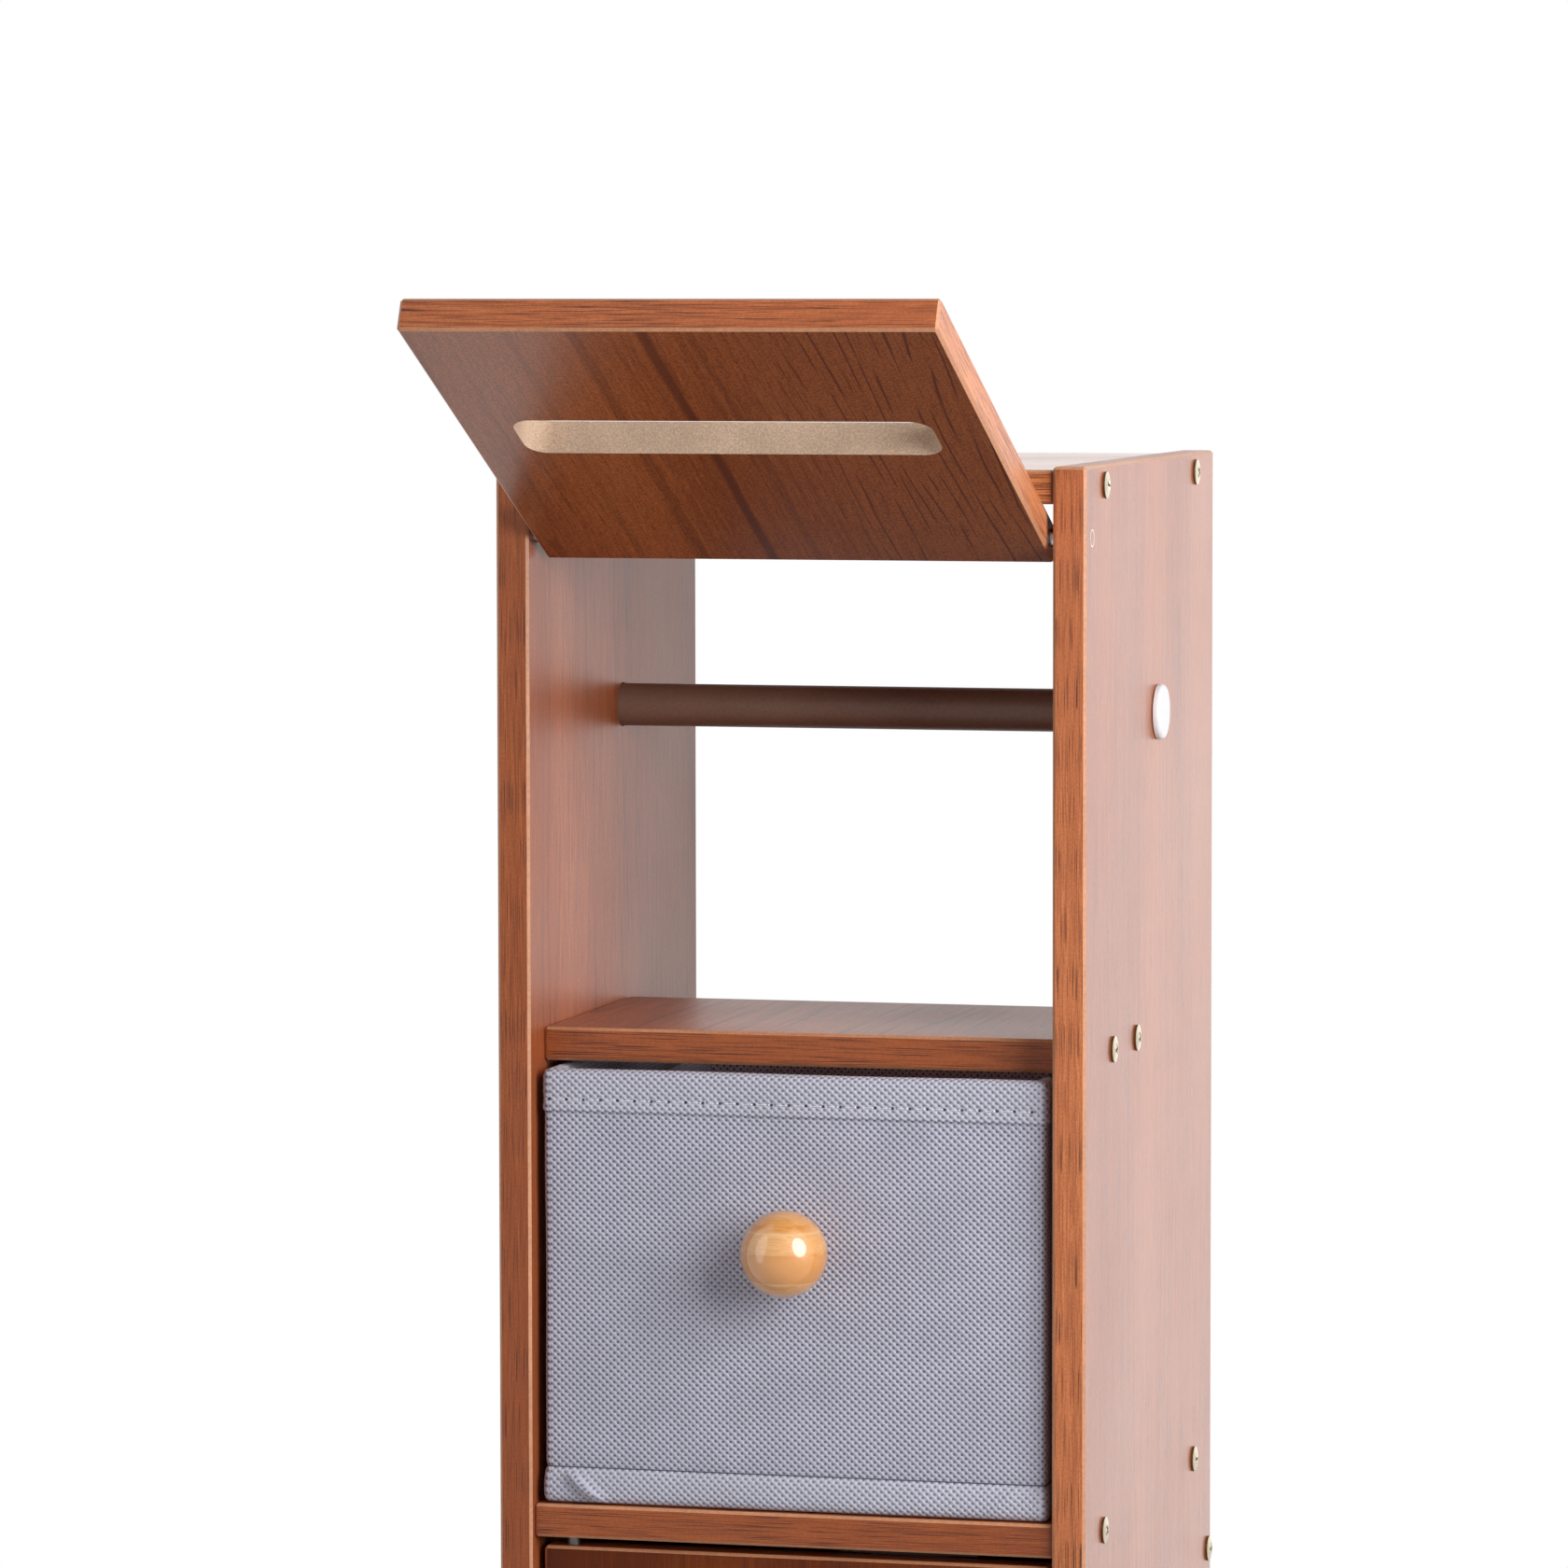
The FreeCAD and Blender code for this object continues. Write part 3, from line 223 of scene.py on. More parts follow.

# Non-woven cloth: pressed dots, fibres, clouds, and the lines where it is sewn or doubled; the needle holes
# and the seam line are painted dark as painted shade.
CLOTH_MAP = "cloth"
CLOTH_SHEEN = {"Roughness": 0.88, "Sheen Weight": 0.15, "Sheen Roughness": 0.5}
CLOTH_CLOUD_CELLS = 60.0
CLOTH_CLOUD_RANGE = (0.3, 0.7)
CLOTH_DIM_SHARE = 0.9
FUZZ_CELLS = 2600.0
FUZZ_DETAIL = 2.0
FUZZ_SHARE = 0.8
FIBRE_TINT_SHARE = 0.3
RIDGE_SHARE = 0.55
PIT_RANGE = (0.2, 0.7)
DOT_DEPTH = 0.2 * MM
# Needle holes and the seam line are painted dark: painted shade in the holes and in the seam's crease.
NEEDLE_HOLE = 0.62 * MM
SEAM_WIDTH = 0.42 * MM
HOLE_SEAM_SHADE_SHARE = 0.3
DOUBLED_SHARE = 0.1
FOLD_DROP = 3.7 * MM

# Profiles of the drawer's cloth: height above its floor or its rim, and reach out from its wall.
COVER_FOOT_MM = (
    (0.35, -6.0), (0.1, -2.2), (0.0, -1.1), (0.15, -0.3), (0.7, 0.25), (1.8, 0.5), (2.7, 0.57), (3.6, 0.6),
    (4.8, 0.6), (6.0, 0.55), (7.1, 0.48), (8.2, 0.38), (9.0, 0.22), (9.6, 0.05), (10.2, -0.35),
    (10.8, -0.2), (11.8, 0.0),
)
COVER_HEM_MM = (
    (-12.3, 0.0), (-12.0, 0.05), (-11.95, 0.5), (-11.6, 0.62), (-10.6, 0.6), (-9.3, 0.52), (-8.6, 0.34),
    (-7.9, 0.52), (-6.4, 0.6), (-4.0, 0.6), (-2.2, 0.55), (-1.1, 0.3), (-0.4, -0.3), (0.0, -1.3),
    (0.0, -2.7), (-0.4, -3.7), (-1.3, -4.3), (-3.0, -4.55), (-8.0, -4.6), (-12.5, -4.6),
)
LINING_MM = (
    (-2.0, -4.0), (-30.0, -4.0), (-60.0, -4.05), (-90.0, -4.05), (-117.0, -4.05), (-119.0, -4.3),
    (-119.9, -5.4),
)
CARD_BOARDS = [f"drawer_{side}_board" for side in ("front", "back", "left", "right", "base")]
WALL_STEP = 3.0 * MM
CLOTH_STEP = 1.2 * MM
CLOTH_GAUGE = 0.35 * MM
INWARDS = -1.0
LEAST_STEPS = 2
CORNER_STEPS = 5
CORNER_RADIUS = 1.8 * MM
TIGHT_CORNER = 0.4 * MM
HEM_STEP = 0.6 * MM
SEAM_RISE = 10.2 * MM

# Waves of the drawer's cloth, and the tucks at the corners of its foot.
WALL_WAVE = 0.28 * MM
WALL_WAVE_CELLS = 26.0
RIM_WAVE = 0.3 * MM
RIM_WAVE_CELLS = 17.0
WAVE_FREE = 12.0 * MM
FOOT_TALL = 9.6 * MM
FOOT_WAVE = 0.22 * MM
FOOT_WAVE_CELLS = 90.0
FOOT_PUFF_SHARE = 1.4
PUCKER_START = 6.4 * MM
PUCKER_SLANT = 1.2
PUCKER_WIDTH = 1.9 * MM
PUCKER_RISE = 3.2 * MM
PUCKER_REST_SHARE = 0.3

# Threads along the hem: middle and span as shares of the stitch pitch, radius and rise.
HEM_THREADS = (
    (0.5, 0.9, 0.1 * MM, 0.05 * MM),
    # Short thick loops by each needle hole, in the pale thread, stand for glints: painted highlights.
    (0.83, 0.17, 0.2 * MM, 0.2 * MM),
)
STITCH_SINK = 0.3 * MM
STITCH_RINGS = 7
STITCH_SIDES = 6
HEM_STITCH_DROP = 8.6 * MM
HEM_STITCH_REACH = 0.34 * MM

# Cross-recess screws: head radius, head height, rim, shank radius, tip, recess span, width and depth.
SCREW_KINDS_MM = {
    "panel": (3.75, 1.3, 0.7, 1.7, 5.0, 3.4, 0.95, 1.0),
    "knob": (4.0, 2.4, 0.8, 2.0, 3.0, 4.4, 1.2, 1.3),
    "small": (2.8, 1.6, 0.5, 1.3, 2.5, 3.2, 0.9, 0.9),
}
SCREW_GROUPS = (
    # piece, node, body, kind, way that the head points
    ("cross_screws_left", "panel_screws_left", "carcass", "panel", (-1, 0, 0)),
    ("cross_screws_right", "panel_screws_right", "carcass", "panel", (1, 0, 0)),
    ("drawer_knob_cross_screw", "drawer_knob_screw", "drawer", "knob", (0, 1, 0)),
    ("door_knob_cross_screw", "door_knob_screw", "door", "knob", (0, 1, 0)),
    ("strike_cross_screw", "door_strike_screw", "door", "small", (0, 1, 0)),
    ("catch_cross_screws", "door_catch_screws", "carcass", "small", (0, 0, -1)),
)
RIM_PROFILE_SHARES = ((1.0, 0.8), (1.0, 0.2), (0.985, 0.0))
# The rims and cross recesses of the screw heads take a darker zinc: painted shade, and on the rims a
# painted reflection of the dark panel.
ZINC_PAINTED_SHADE_SHARES = (0.3, 0.24, 0.18)
PLATED_SLOT, SHADE_PAINTED_SLOT = 0, 1
SCREW_SIDES = 48
SCREW_RINGS = 18
SCREW_SEED = 7
SCREW_SHARP = math.radians(35)
THREAD_PITCH = 1.3 * MM
THREAD_DEPTH_SHARE = 0.22
RECESS_TAPER = 0.28 * MM
WELD_REACH = 0.001 * MM

# Studio: place and size of each lamp in metres, the floor and the camera's sensor.
LAMPS = {
    "key": ((0.72, -0.52, 0.9), (0.62, 0.78)),
    "fill": ((-1.3, -1.1, 1.0), (0.9, 2.2)),
    "backdrop": ((0.45, 1.9, 0.9), (2.4, 1.8)),
}
AIM = Vector((0.0, 0.0, 0.62))
FLOOR_RADIUS = 3.0
FLOOR_SIDES = 96
FLOOR_SHADOW_RADII = (0.2, 0.75)
FLOOR_GLOW_SHARE = 0.35
CAMERA_SENSOR = 36.0

# Settings, and the kinds of property that they share
ColourProperty = functools.partial(FloatVectorProperty, subtype="COLOR", size=3, min=0, max=1)
LengthProperty = functools.partial(FloatProperty, unit="LENGTH", precision=5)
PowerProperty = functools.partial(FloatProperty, unit="POWER", min=0)
AngleProperty = functools.partial(FloatProperty, subtype="ANGLE")


class RackLaminate(bpy.types.PropertyGroup):
    """Wood-grain laminate of the boards."""

    light: ColourProperty(name="Light Tone", description="Palest wood tone", default=(0.49, 0.139, 0.0456))
    middle: ColourProperty(name="Middle Tone", description="Usual wood tone",
                           default=(0.342, 0.0855, 0.0262))
    dark: ColourProperty(name="Vein Tone", description="Tone of veins and pores",
                         default=(0.0855, 0.0228, 0.0125))
    # The lid's tones are a little darker than the boards': painted shade of its underside.
    lid_light: ColourProperty(name="Lid Light", description="Palest tone of the lid",
                              default=(0.467, 0.1345, 0.0422))
    lid_middle: ColourProperty(name="Lid Middle", description="Usual tone of the lid",
                               default=(0.325, 0.0832, 0.0239))
    # The door's tones are darker than the boards': partly the door's own darker print, partly painted shade
    # under the drawer shelf above it.
    door_light: ColourProperty(name="Door Light", description="Palest tone of the door",
                               default=(0.2, 0.043, 0.0083))
    door_middle: ColourProperty(name="Door Middle", description="Usual tone of the door",
                                default=(0.112, 0.0216, 0.0046))
    # The bevel line is paler than the faces: partly the bare edge, partly a painted highlight where the
    # bevels catch the light.
    edge: ColourProperty(name="Edge Line", description="Bare line along the bevels",
                         default=(0.57, 0.2565, 0.131))
    raw: ColourProperty(name="Raw Board", description="Cut fibreboard", default=(0.73, 0.524, 0.376))
    roughness: FloatProperty(name="Roughness", description="Roughness of the satin face", default=0.24,
                             min=0, max=1, subtype="FACTOR")


class RackCloth(bpy.types.PropertyGroup):
    """Non-woven cloth of the drawer."""

    colour: ColourProperty(name="Cloth", description="Raised part of the cloth",
                           default=(0.627, 0.621, 0.741))
    pit: ColourProperty(name="Pits", description="Bottom of the pressed dots",
                        default=(0.137, 0.137, 0.194))
    # The thread is paler than the cloth, partly as a painted highlight: its short loops by the needle holes
    # stand for glints.
    thread: ColourProperty(name="Thread", description="Sewing thread", default=(0.88, 0.89, 0.97))
    dot_across: LengthProperty(name="Dot Pitch Across", description="Distance between dots in a row",
                               default=2.2 * MM)
    dot_up: LengthProperty(name="Dot Pitch Up", description="Distance between every second row",
                           default=2.1 * MM)
    stitch_pitch: LengthProperty(name="Stitch Pitch", description="Distance between stitches",
                                 default=5.0 * MM)


class RackFittings(bpy.types.PropertyGroup):
    """Rod, knobs, screws and catch."""

    zinc: ColourProperty(name="Yellow Zinc", description="Plating of the screws", default=(0.6, 0.53, 0.4))
    steel: ColourProperty(name="Steel", description="Lid pins, washer and strike plate",
                          default=(0.66, 0.65, 0.63))
    # The door pins' steel is made dark: painted shade of the gap they sit in.
    dull_painted_shade: ColourProperty(name="Dull Steel", description="Pins of the door", default=(0.16, 0.15, 0.14))
    rod: ColourProperty(name="Rod", description="Paint of the rod", default=(0.245, 0.139, 0.097))
    white: ColourProperty(name="White Plastic", description="End cap of the rod",
                          default=(0.8, 0.805, 0.828))
    # The catch is coloured near-black brown: painted shade of the dark gap under the drawer shelf.
    catch_painted_shade: ColourProperty(name="Brown Plastic", description="Door catch", default=(0.05, 0.024, 0.013))
    card: ColourProperty(name="Card", description="Stiffeners of the drawer", default=(0.36, 0.33, 0.29))
    magnet: ColourProperty(name="Magnet", description="Magnet of the catch", default=(0.045, 0.044, 0.046))
    knob_light: ColourProperty(name="Knob Light", description="Pale wood of the knobs",
                               default=(0.92, 0.51, 0.194))
    knob_pale: ColourProperty(name="Knob Rings", description="Pale rings of the knobs",
                              default=(0.96, 0.78, 0.47))
    knob_dark: ColourProperty(name="Knob Dark", description="Grain of the knobs",
                              default=(0.707, 0.274, 0.048))


class RackStage(bpy.types.PropertyGroup):
    """Studio light and camera."""

    floor: ColourProperty(name="Floor", description="Pale floor", default=(0.7, 0.7, 0.7))
    ambient: FloatProperty(name="Ambient", description="Even light from all round", default=0.2, min=0)
    key_power: PowerProperty(name="Key Light", description="Lamp at the right", default=9.2)
    fill_power: PowerProperty(name="Fill Light", description="Lamp at the left", default=5.7)
    backdrop_power: PowerProperty(name="Backdrop Light", description="Glow of the backdrop", default=5.3)
    camera_place: FloatVectorProperty(name="Camera Place", description="Where the camera stands",
                                      subtype="XYZ", unit="LENGTH", size=3,
                                      default=(516.4 * MM, -2088.65 * MM, 838.0 * MM))
    camera_yaw: AngleProperty(name="Camera Yaw", description="Turn to the left",
                              default=math.radians(14.52))
    camera_dip: AngleProperty(name="Camera Dip", description="Tilt down from level",
                              default=math.radians(4.075))
    camera_roll: AngleProperty(name="Camera Roll", description="Turn about the line of sight",
                               default=math.radians(-0.088))
    lens: FloatProperty(name="Lens", description="Focal length in millimetres", default=170.01, min=1)


# Node graphs and shared node groups

class Graph:
    """Adds nodes to a material, a world or a group and joins them."""

    NOISE_MIDDLE = 0.5
    HALF_PERIOD = 0.5
    NUMBERS_FROM_VECTORS = ("LENGTH", "DISTANCE")
    # Where a mix node has its share, its two colours and their blend among its sockets
    MIX_INPUTS = (0, 6, 7)
    MIX_OUTPUT = 2

    def __init__(self, tree):
        self.tree = tree

    def node(self, kind, settings=None, **inputs):
        """Adds a node; an input is a constant or another node's output, by name with _ for a space."""
        made = self.tree.nodes.new(kind)
        for name, value in (settings or {}).items():
            setattr(made, name, value)
        for name, value in inputs.items():
            self.feed(made.inputs[name.replace("_", " ")], value)
        return made

    def feed(self, socket, value):
        """Sets a socket or joins it to an output."""
        if isinstance(value, bpy.types.NodeSocket):
            self.tree.links.new(value, socket)
        else:
            socket.default_value = value

    def worked_out(self, kind, operation, values):
        """Adds a node that works something out from its values in order, and returns its outputs."""
        made = self.node(kind, {"operation": operation})
        for socket, value in zip(made.inputs, values):
            self.feed(socket, value)
        return made.outputs

    def math(self, operation, *values):
        """One sum on numbers."""
        return self.worked_out("ShaderNodeMath", operation, values)["Value"]

    def vector(self, operation, *values):
        """One sum on vectors."""
        outputs = self.worked_out("ShaderNodeVectorMath", operation, values)
        return outputs["Value" if operation in self.NUMBERS_FROM_VECTORS else "Vector"]

    def noise(self, place, detail, scale=1.0):
        """Smooth noise from 0 to 1 at a place."""
        return self.node("ShaderNodeTexNoise", Vector=place, Scale=scale, Detail=detail).outputs["Fac"]

    def layer(self, place, layer):
        """Noise with its own repeats along each axis."""
        stretch, detail = layer
        return self.noise(self.vector("MULTIPLY", place, stretch), detail)

    def times(self, product, *others):
        """Product of numbers."""
        for other in others:
            product = self.math("MULTIPLY", product, other)
        return product

    def centred(self, value, reach):
        """Noise moved to lie about zero, times its reach."""
        return self.times(self.math("SUBTRACT", value, self.NOISE_MIDDLE), reach)

    def off_whole(self, value):
        """Distance to the nearest whole number."""
        return self.math("PINGPONG", value, self.HALF_PERIOD)

    def step(self, value, bounds):
        """Changes smoothly from 0 at the first bound to 1 at the second."""
        start, end = bounds
        made = self.node("ShaderNodeMapRange", {"interpolation_type": "SMOOTHSTEP"}, Value=value,
                         From_Min=start, From_Max=end)
        return made.outputs["Result"]

    def fall(self, value, bounds):
        """Changes smoothly from 1 at the first bound to 0 at the second."""
        return self.math("SUBTRACT", 1.0, self.step(value, bounds))

    def mix(self, share, first, second):
        """Blends two colours."""
        made = self.node("ShaderNodeMix", {"data_type": "RGBA"})
        for index, value in zip(self.MIX_INPUTS, (share, first, second)):
            self.feed(made.inputs[index], value)
        return made.outputs[self.MIX_OUTPUT]

    def group(self, name, **inputs):
        """Places a shared node group, which is made when it is first used."""
        tree = bpy.data.node_groups.get(name) or SHARED_GROUPS[name](name)
        return self.node("ShaderNodeGroup", {"node_tree": tree}, **inputs).outputs


def rgba(colour):
    """A colour with full alpha."""
    return (*colour, 1.0)


def tinted(colour, shares):
    """A colour with each of its parts scaled."""
    return [min(1.0, part * share) for part, share in zip(colour, shares)]


def new_group(name, inputs, outputs):
    """Starts a shared node group with named sockets; returns it, its graph, its inputs and its end."""
    tree = bpy.data.node_groups.new(name, "ShaderNodeTree")
    for way, sockets in (("INPUT", inputs), ("OUTPUT", outputs)):
        for socket, kind in sockets.items():
            tree.interface.new_socket(name=socket, in_out=way, socket_type="NodeSocket" + kind)
    start = tree.nodes.new("NodeGroupInput")
    end = tree.nodes.new("NodeGroupOutput")
    return tree, Graph(tree), start.outputs, end.inputs


def wood_grain_group(name):
    """Grain along Z: broad bands, fine lines, dark veins and short pores."""
    tree, graph, start, end = new_group(
        name,
        {"Vector": "Vector", "Light": "Color", "Middle": "Color", "Dark": "Color", "Fineness": "Float",
         "Veins": "Float", "Pores": "Float"},
        {"Color": "Color", "Height": "Float"})
    scaled = graph.node("ShaderNodeVectorMath", {"operation": "SCALE"}, Vector=start["Vector"],
                        Scale=start["Fineness"])
    place = scaled.outputs["Vector"]
    shift = graph.centred(graph.layer(place, WARP_LAYER), WARP_REACH)
    aside = graph.node("ShaderNodeCombineXYZ", X=shift, Y=shift).outputs["Vector"]
    bent = graph.vector("ADD", place, aside)
    bands, lines, fibres = (graph.layer(bent, layer) for layer in (BAND_LAYER, LINE_LAYER, FIBRE_LAYER))
    pores, fade = (graph.layer(place, layer) for layer in (PORE_LAYER, FADE_LAYER))
    fade_share, line_share, fibre_share = TONE_SHARES
    tone = graph.times(fade, fade_share)
    tone = graph.math("MULTIPLY_ADD", lines, line_share, tone)
    tone = graph.math("MULTIPLY_ADD", fibres, fibre_share, tone)
    colour = graph.mix(graph.step(tone, TONE_RANGE), start["Light"], start["Middle"])
    ring = graph.math("FRACT", graph.times(bands, RINGS))
    vein = graph.math("SUBTRACT", graph.step(ring, RING_RISE), graph.step(ring, RING_FALL))
    vein = graph.times(vein, graph.step(fade, FADE_RANGE), graph.step(lines, BREAK_RANGE), start["Veins"])
    colour = graph.mix(vein, colour, start["Dark"])
    pore = graph.times(graph.step(pores, PORE_RANGE), start["Pores"])
    graph.feed(end["Color"], graph.mix(pore, colour, start["Dark"]))
    graph.feed(end["Height"], graph.math("MULTIPLY_ADD", pore, -PORE_SINK_SHARE, lines))
    return tree


def satin_skin_group(name):
    """Fine orange-peel skin and faint smudges."""
    tree, graph, start, end = new_group(
        name, {"Vector": "Vector", "Cells": "Float", "Roughness": "Float", "Spread": "Float"},
        {"Height": "Float", "Roughness": "Float"})
    graph.feed(end["Height"], graph.noise(start["Vector"], PEEL_DETAIL, start["Cells"]))
    smudge = graph.noise(start["Vector"], SMUDGE_DETAIL, SMUDGE_CELLS)
    offset = graph.centred(smudge, start["Spread"])
    graph.feed(end["Roughness"], graph.math("ADD", start["Roughness"], offset))
    return tree


def pressed_dots_group(name):
    """Staggered dots pressed into non-woven cloth, with slanting ridges between them."""
    tree, graph, start, end = new_group(
        name, {"Vector": "Vector", "Across": "Float", "Up": "Float"},
        {"Height": "Float", "Pits": "Float", "Fibres": "Float"})
    fuzz = graph.noise(start["Vector"], FUZZ_DETAIL, FUZZ_CELLS)
    parts = graph.node("ShaderNodeSeparateXYZ", Vector=start["Vector"]).outputs
    across = graph.math("DIVIDE", parts["X"], start["Across"])
    up = graph.math("DIVIDE", parts["Y"], start["Up"])
    waves = []
    for operation, share in (("ADD", RIDGE_SHARE), ("SUBTRACT", 1 - RIDGE_SHARE)):
        phase = graph.times(graph.math(operation, across, up), math.tau)
        waves.append(graph.times(graph.math("COSINE", phase), share))
    dots = graph.math("ADD", graph.centred(fuzz, FUZZ_SHARE), graph.math("ADD", *waves))
    graph.feed(end["Pits"], graph.step(dots, PIT_RANGE))
    graph.feed(end["Height"], graph.math("SUBTRACT", graph.times(fuzz, FUZZ_SHARE), dots))
    graph.feed(end["Fibres"], fuzz)
    return tree


def sewn_lines_group(name):
    """Needle holes along one row of the cloth, the shut line of a seam along another, and doubled cloth;
    the holes and the seam line are masks for painted shade.
    """
    tree, graph, start, end = new_group(
        name, {"Vector": "Vector", "Hem Row": "Float", "Pitch": "Float", "Seam Row": "Float"},
        {"Holes": "Float", "Seam": "Float", "Doubled": "Float"})
    parts = graph.node("ShaderNodeSeparateXYZ", Vector=start["Vector"]).outputs
    aside = graph.math("PINGPONG", parts["X"], graph.math("DIVIDE", start["Pitch"], 2.0))
    above = graph.math("SUBTRACT", parts["Y"], start["Hem Row"])
    off_hole = graph.node("ShaderNodeCombineXYZ", X=aside, Y=above).outputs["Vector"]
    away = graph.vector("LENGTH", off_hole)
    graph.feed(end["Holes"], graph.fall(away, (NEEDLE_HOLE / 2, NEEDLE_HOLE)))
    off_seam = graph.math("ABSOLUTE", graph.math("SUBTRACT", parts["Y"], start["Seam Row"]))
    graph.feed(end["Seam"], graph.fall(off_seam, (0.0, SEAM_WIDTH)))
    over_fold = graph.math("GREATER_THAN", above, -FOLD_DROP)
    under_seam = graph.math("LESS_THAN", parts["Y"], start["Seam Row"])
    graph.feed(end["Doubled"], graph.math("MAXIMUM", over_fold, under_seam))
    return tree


SHARED_GROUPS = {
    "Wood Grain": wood_grain_group,
    "Satin Skin": satin_skin_group,
    "Pressed Dots": pressed_dots_group,
    "Sewn Lines": sewn_lines_group,
}


# Materials

def fresh_graph(owner):
    """Clears the nodes of a material or a world and returns its graph."""
    owner.use_nodes = True
    owner.node_tree.nodes.clear()
    return Graph(owner.node_tree)


def new_material(name):
    """Starts a material; returns it, its graph, its shader and its coordinates."""
    material = bpy.data.materials.new(name)
    graph = fresh_graph(material)
    shader = graph.node("ShaderNodeBsdfPrincipled")
    graph.node("ShaderNodeOutputMaterial", Surface=shader.outputs["BSDF"])
    return material, graph, shader, graph.node("ShaderNodeTexCoord").outputs["Object"]


def join_surface(graph, shader, colour, height, depth, constants):
    """Joins a colour and a height to the shader, and sets the sockets that are even over the surface."""
    bump = graph.node("ShaderNodeBump", Height=height, Distance=depth)
    graph.feed(shader.inputs["Base Color"], colour)
    graph.feed(shader.inputs["Normal"], bump.outputs["Normal"])
    for name, value in constants.items():
        shader.inputs[name].default_value = value


def grain_along(graph, place, way, **looks):
    """Wood grain that runs one way."""
    mapped = graph.node("ShaderNodeMapping", Vector=place, Rotation=Euler(GRAIN_TURNS[way]))
    return graph.group("Wood Grain", Vector=mapped.outputs["Vector"], **looks)


def satin_skin(graph, shader, place, cells, roughness, spread):
    """Joins a skin's roughness to the shader and returns the skin's height."""
    skin = graph.group("Satin Skin", Vector=place, Cells=cells, Roughness=roughness, Spread=spread)
    graph.feed(shader.inputs["Roughness"], skin["Roughness"])
    return skin["Height"]


def lid_figure(graph, place, colour, dark):
    """Long veins of the lid: one strong, three fainter, and fine ones close together at its right."""
    across = graph.node("ShaderNodeSeparateXYZ", Vector=place).outputs["X"]
    across = graph.math("ADD", graph.centred(graph.layer(place, FIGURE_BEND_LAYER), FIGURE_BEND), across)
    for vein_place, width, share in FIGURE_VEINS:
        off = graph.math("ABSOLUTE", graph.math("SUBTRACT", across, vein_place))
        vein = graph.fall(off, (width * VEIN_CORE_SHARE, width))
        colour = graph.mix(graph.times(vein, share), colour, dark)
    spread = graph.times(graph.layer(place, FIGURE_SPREAD_LAYER), FIGURE_SPREAD)
    ring = graph.off_whole(graph.math("MULTIPLY_ADD", across, 1 / FINE_VEIN_PITCH, spread))
    right = graph.step(across, FINE_VEIN_REACH)
    breaks = graph.step(graph.layer(place, FIGURE_BREAK_LAYER), FIGURE_BREAK_RANGE)
    fine = graph.times(graph.fall(ring, FINE_VEIN_RANGE), right, breaks, FINE_VEIN_SHARE)
    shade = graph.math("MAXIMUM", fine, graph.times(right, RIGHT_SHADE_SHARE))
    return graph.mix(shade, colour, dark)


def pin_outline(graph, place, colour, pale):
    """Thin pale ring round the end of a lid pin."""
    low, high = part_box("lid_pivot_pins")
    flat = graph.vector("MULTIPLY", place, (0.0, 1.0, 1.0))
    away = graph.vector("DISTANCE", flat, (low + high) / 2)
    return graph.mix(graph.step(away, PIN_RING_RANGE), colour, pale)


def laminate(name, settings, look, way, tones=None, figure=None):
    """Satin wood-grain laminate with the grain turned to run along a board."""
    veins, pores, roughen, pit_shade_share, ior = LAMINATE_LOOKS[look]
    light, middle = tones or (settings.light, settings.middle)
    dark = rgba(settings.dark)
    material, graph, shader, place = new_material(name)
    grain = grain_along(graph, place, way, Light=rgba(light), Middle=rgba(middle), Dark=dark, Fineness=1.0,
                        Veins=veins, Pores=pores)
    skin = satin_skin(graph, shader, place, PEEL_CELLS, settings.roughness + roughen, LAMINATE_SPREAD)
    # The pits of the skin are darkened: painted shade.
    pit_painted_shade = graph.times(graph.step(skin, PEEL_PIT_SHADE_RANGE), pit_shade_share)
    colour = graph.mix(pit_painted_shade, grain["Color"], dark)
    if figure:
        drawn, tone = figure
        colour = drawn(graph, place, colour, rgba(tone))
    height = graph.math("MULTIPLY_ADD", grain["Height"], GRAIN_BUMP_SHARE, skin)
    join_surface(graph, shader, colour, height, PEEL_DEPTH, {"IOR": ior})
    return material


def speckled(name, colour):
    """A finish with fine specks, for raw board, paint, card, plastic and plated metal."""
    cells, contrast, depth, roughness, spread, metal, ior = SPECKLED_LOOKS[name]
    material, graph, shader, place = new_material(name)
    specks = graph.noise(place, SPECK_DETAIL, cells)
    clouds = graph.noise(place, CLOUD_DETAIL, CLOUD_CELLS)
    tone = graph.math("MULTIPLY_ADD", clouds, CLOUD_SHARE, specks)
    dim, bright = (rgba(tinted(colour, [share] * len(colour))) for share in (1 - contrast, 1 + contrast))
    satin_skin(graph, shader, place, cells, roughness, spread)
    blend = graph.mix(graph.step(tone, SPECK_RANGE), dim, bright)
    join_surface(graph, shader, blend, specks, depth, {"Metallic": metal, "IOR": ior})
    return material


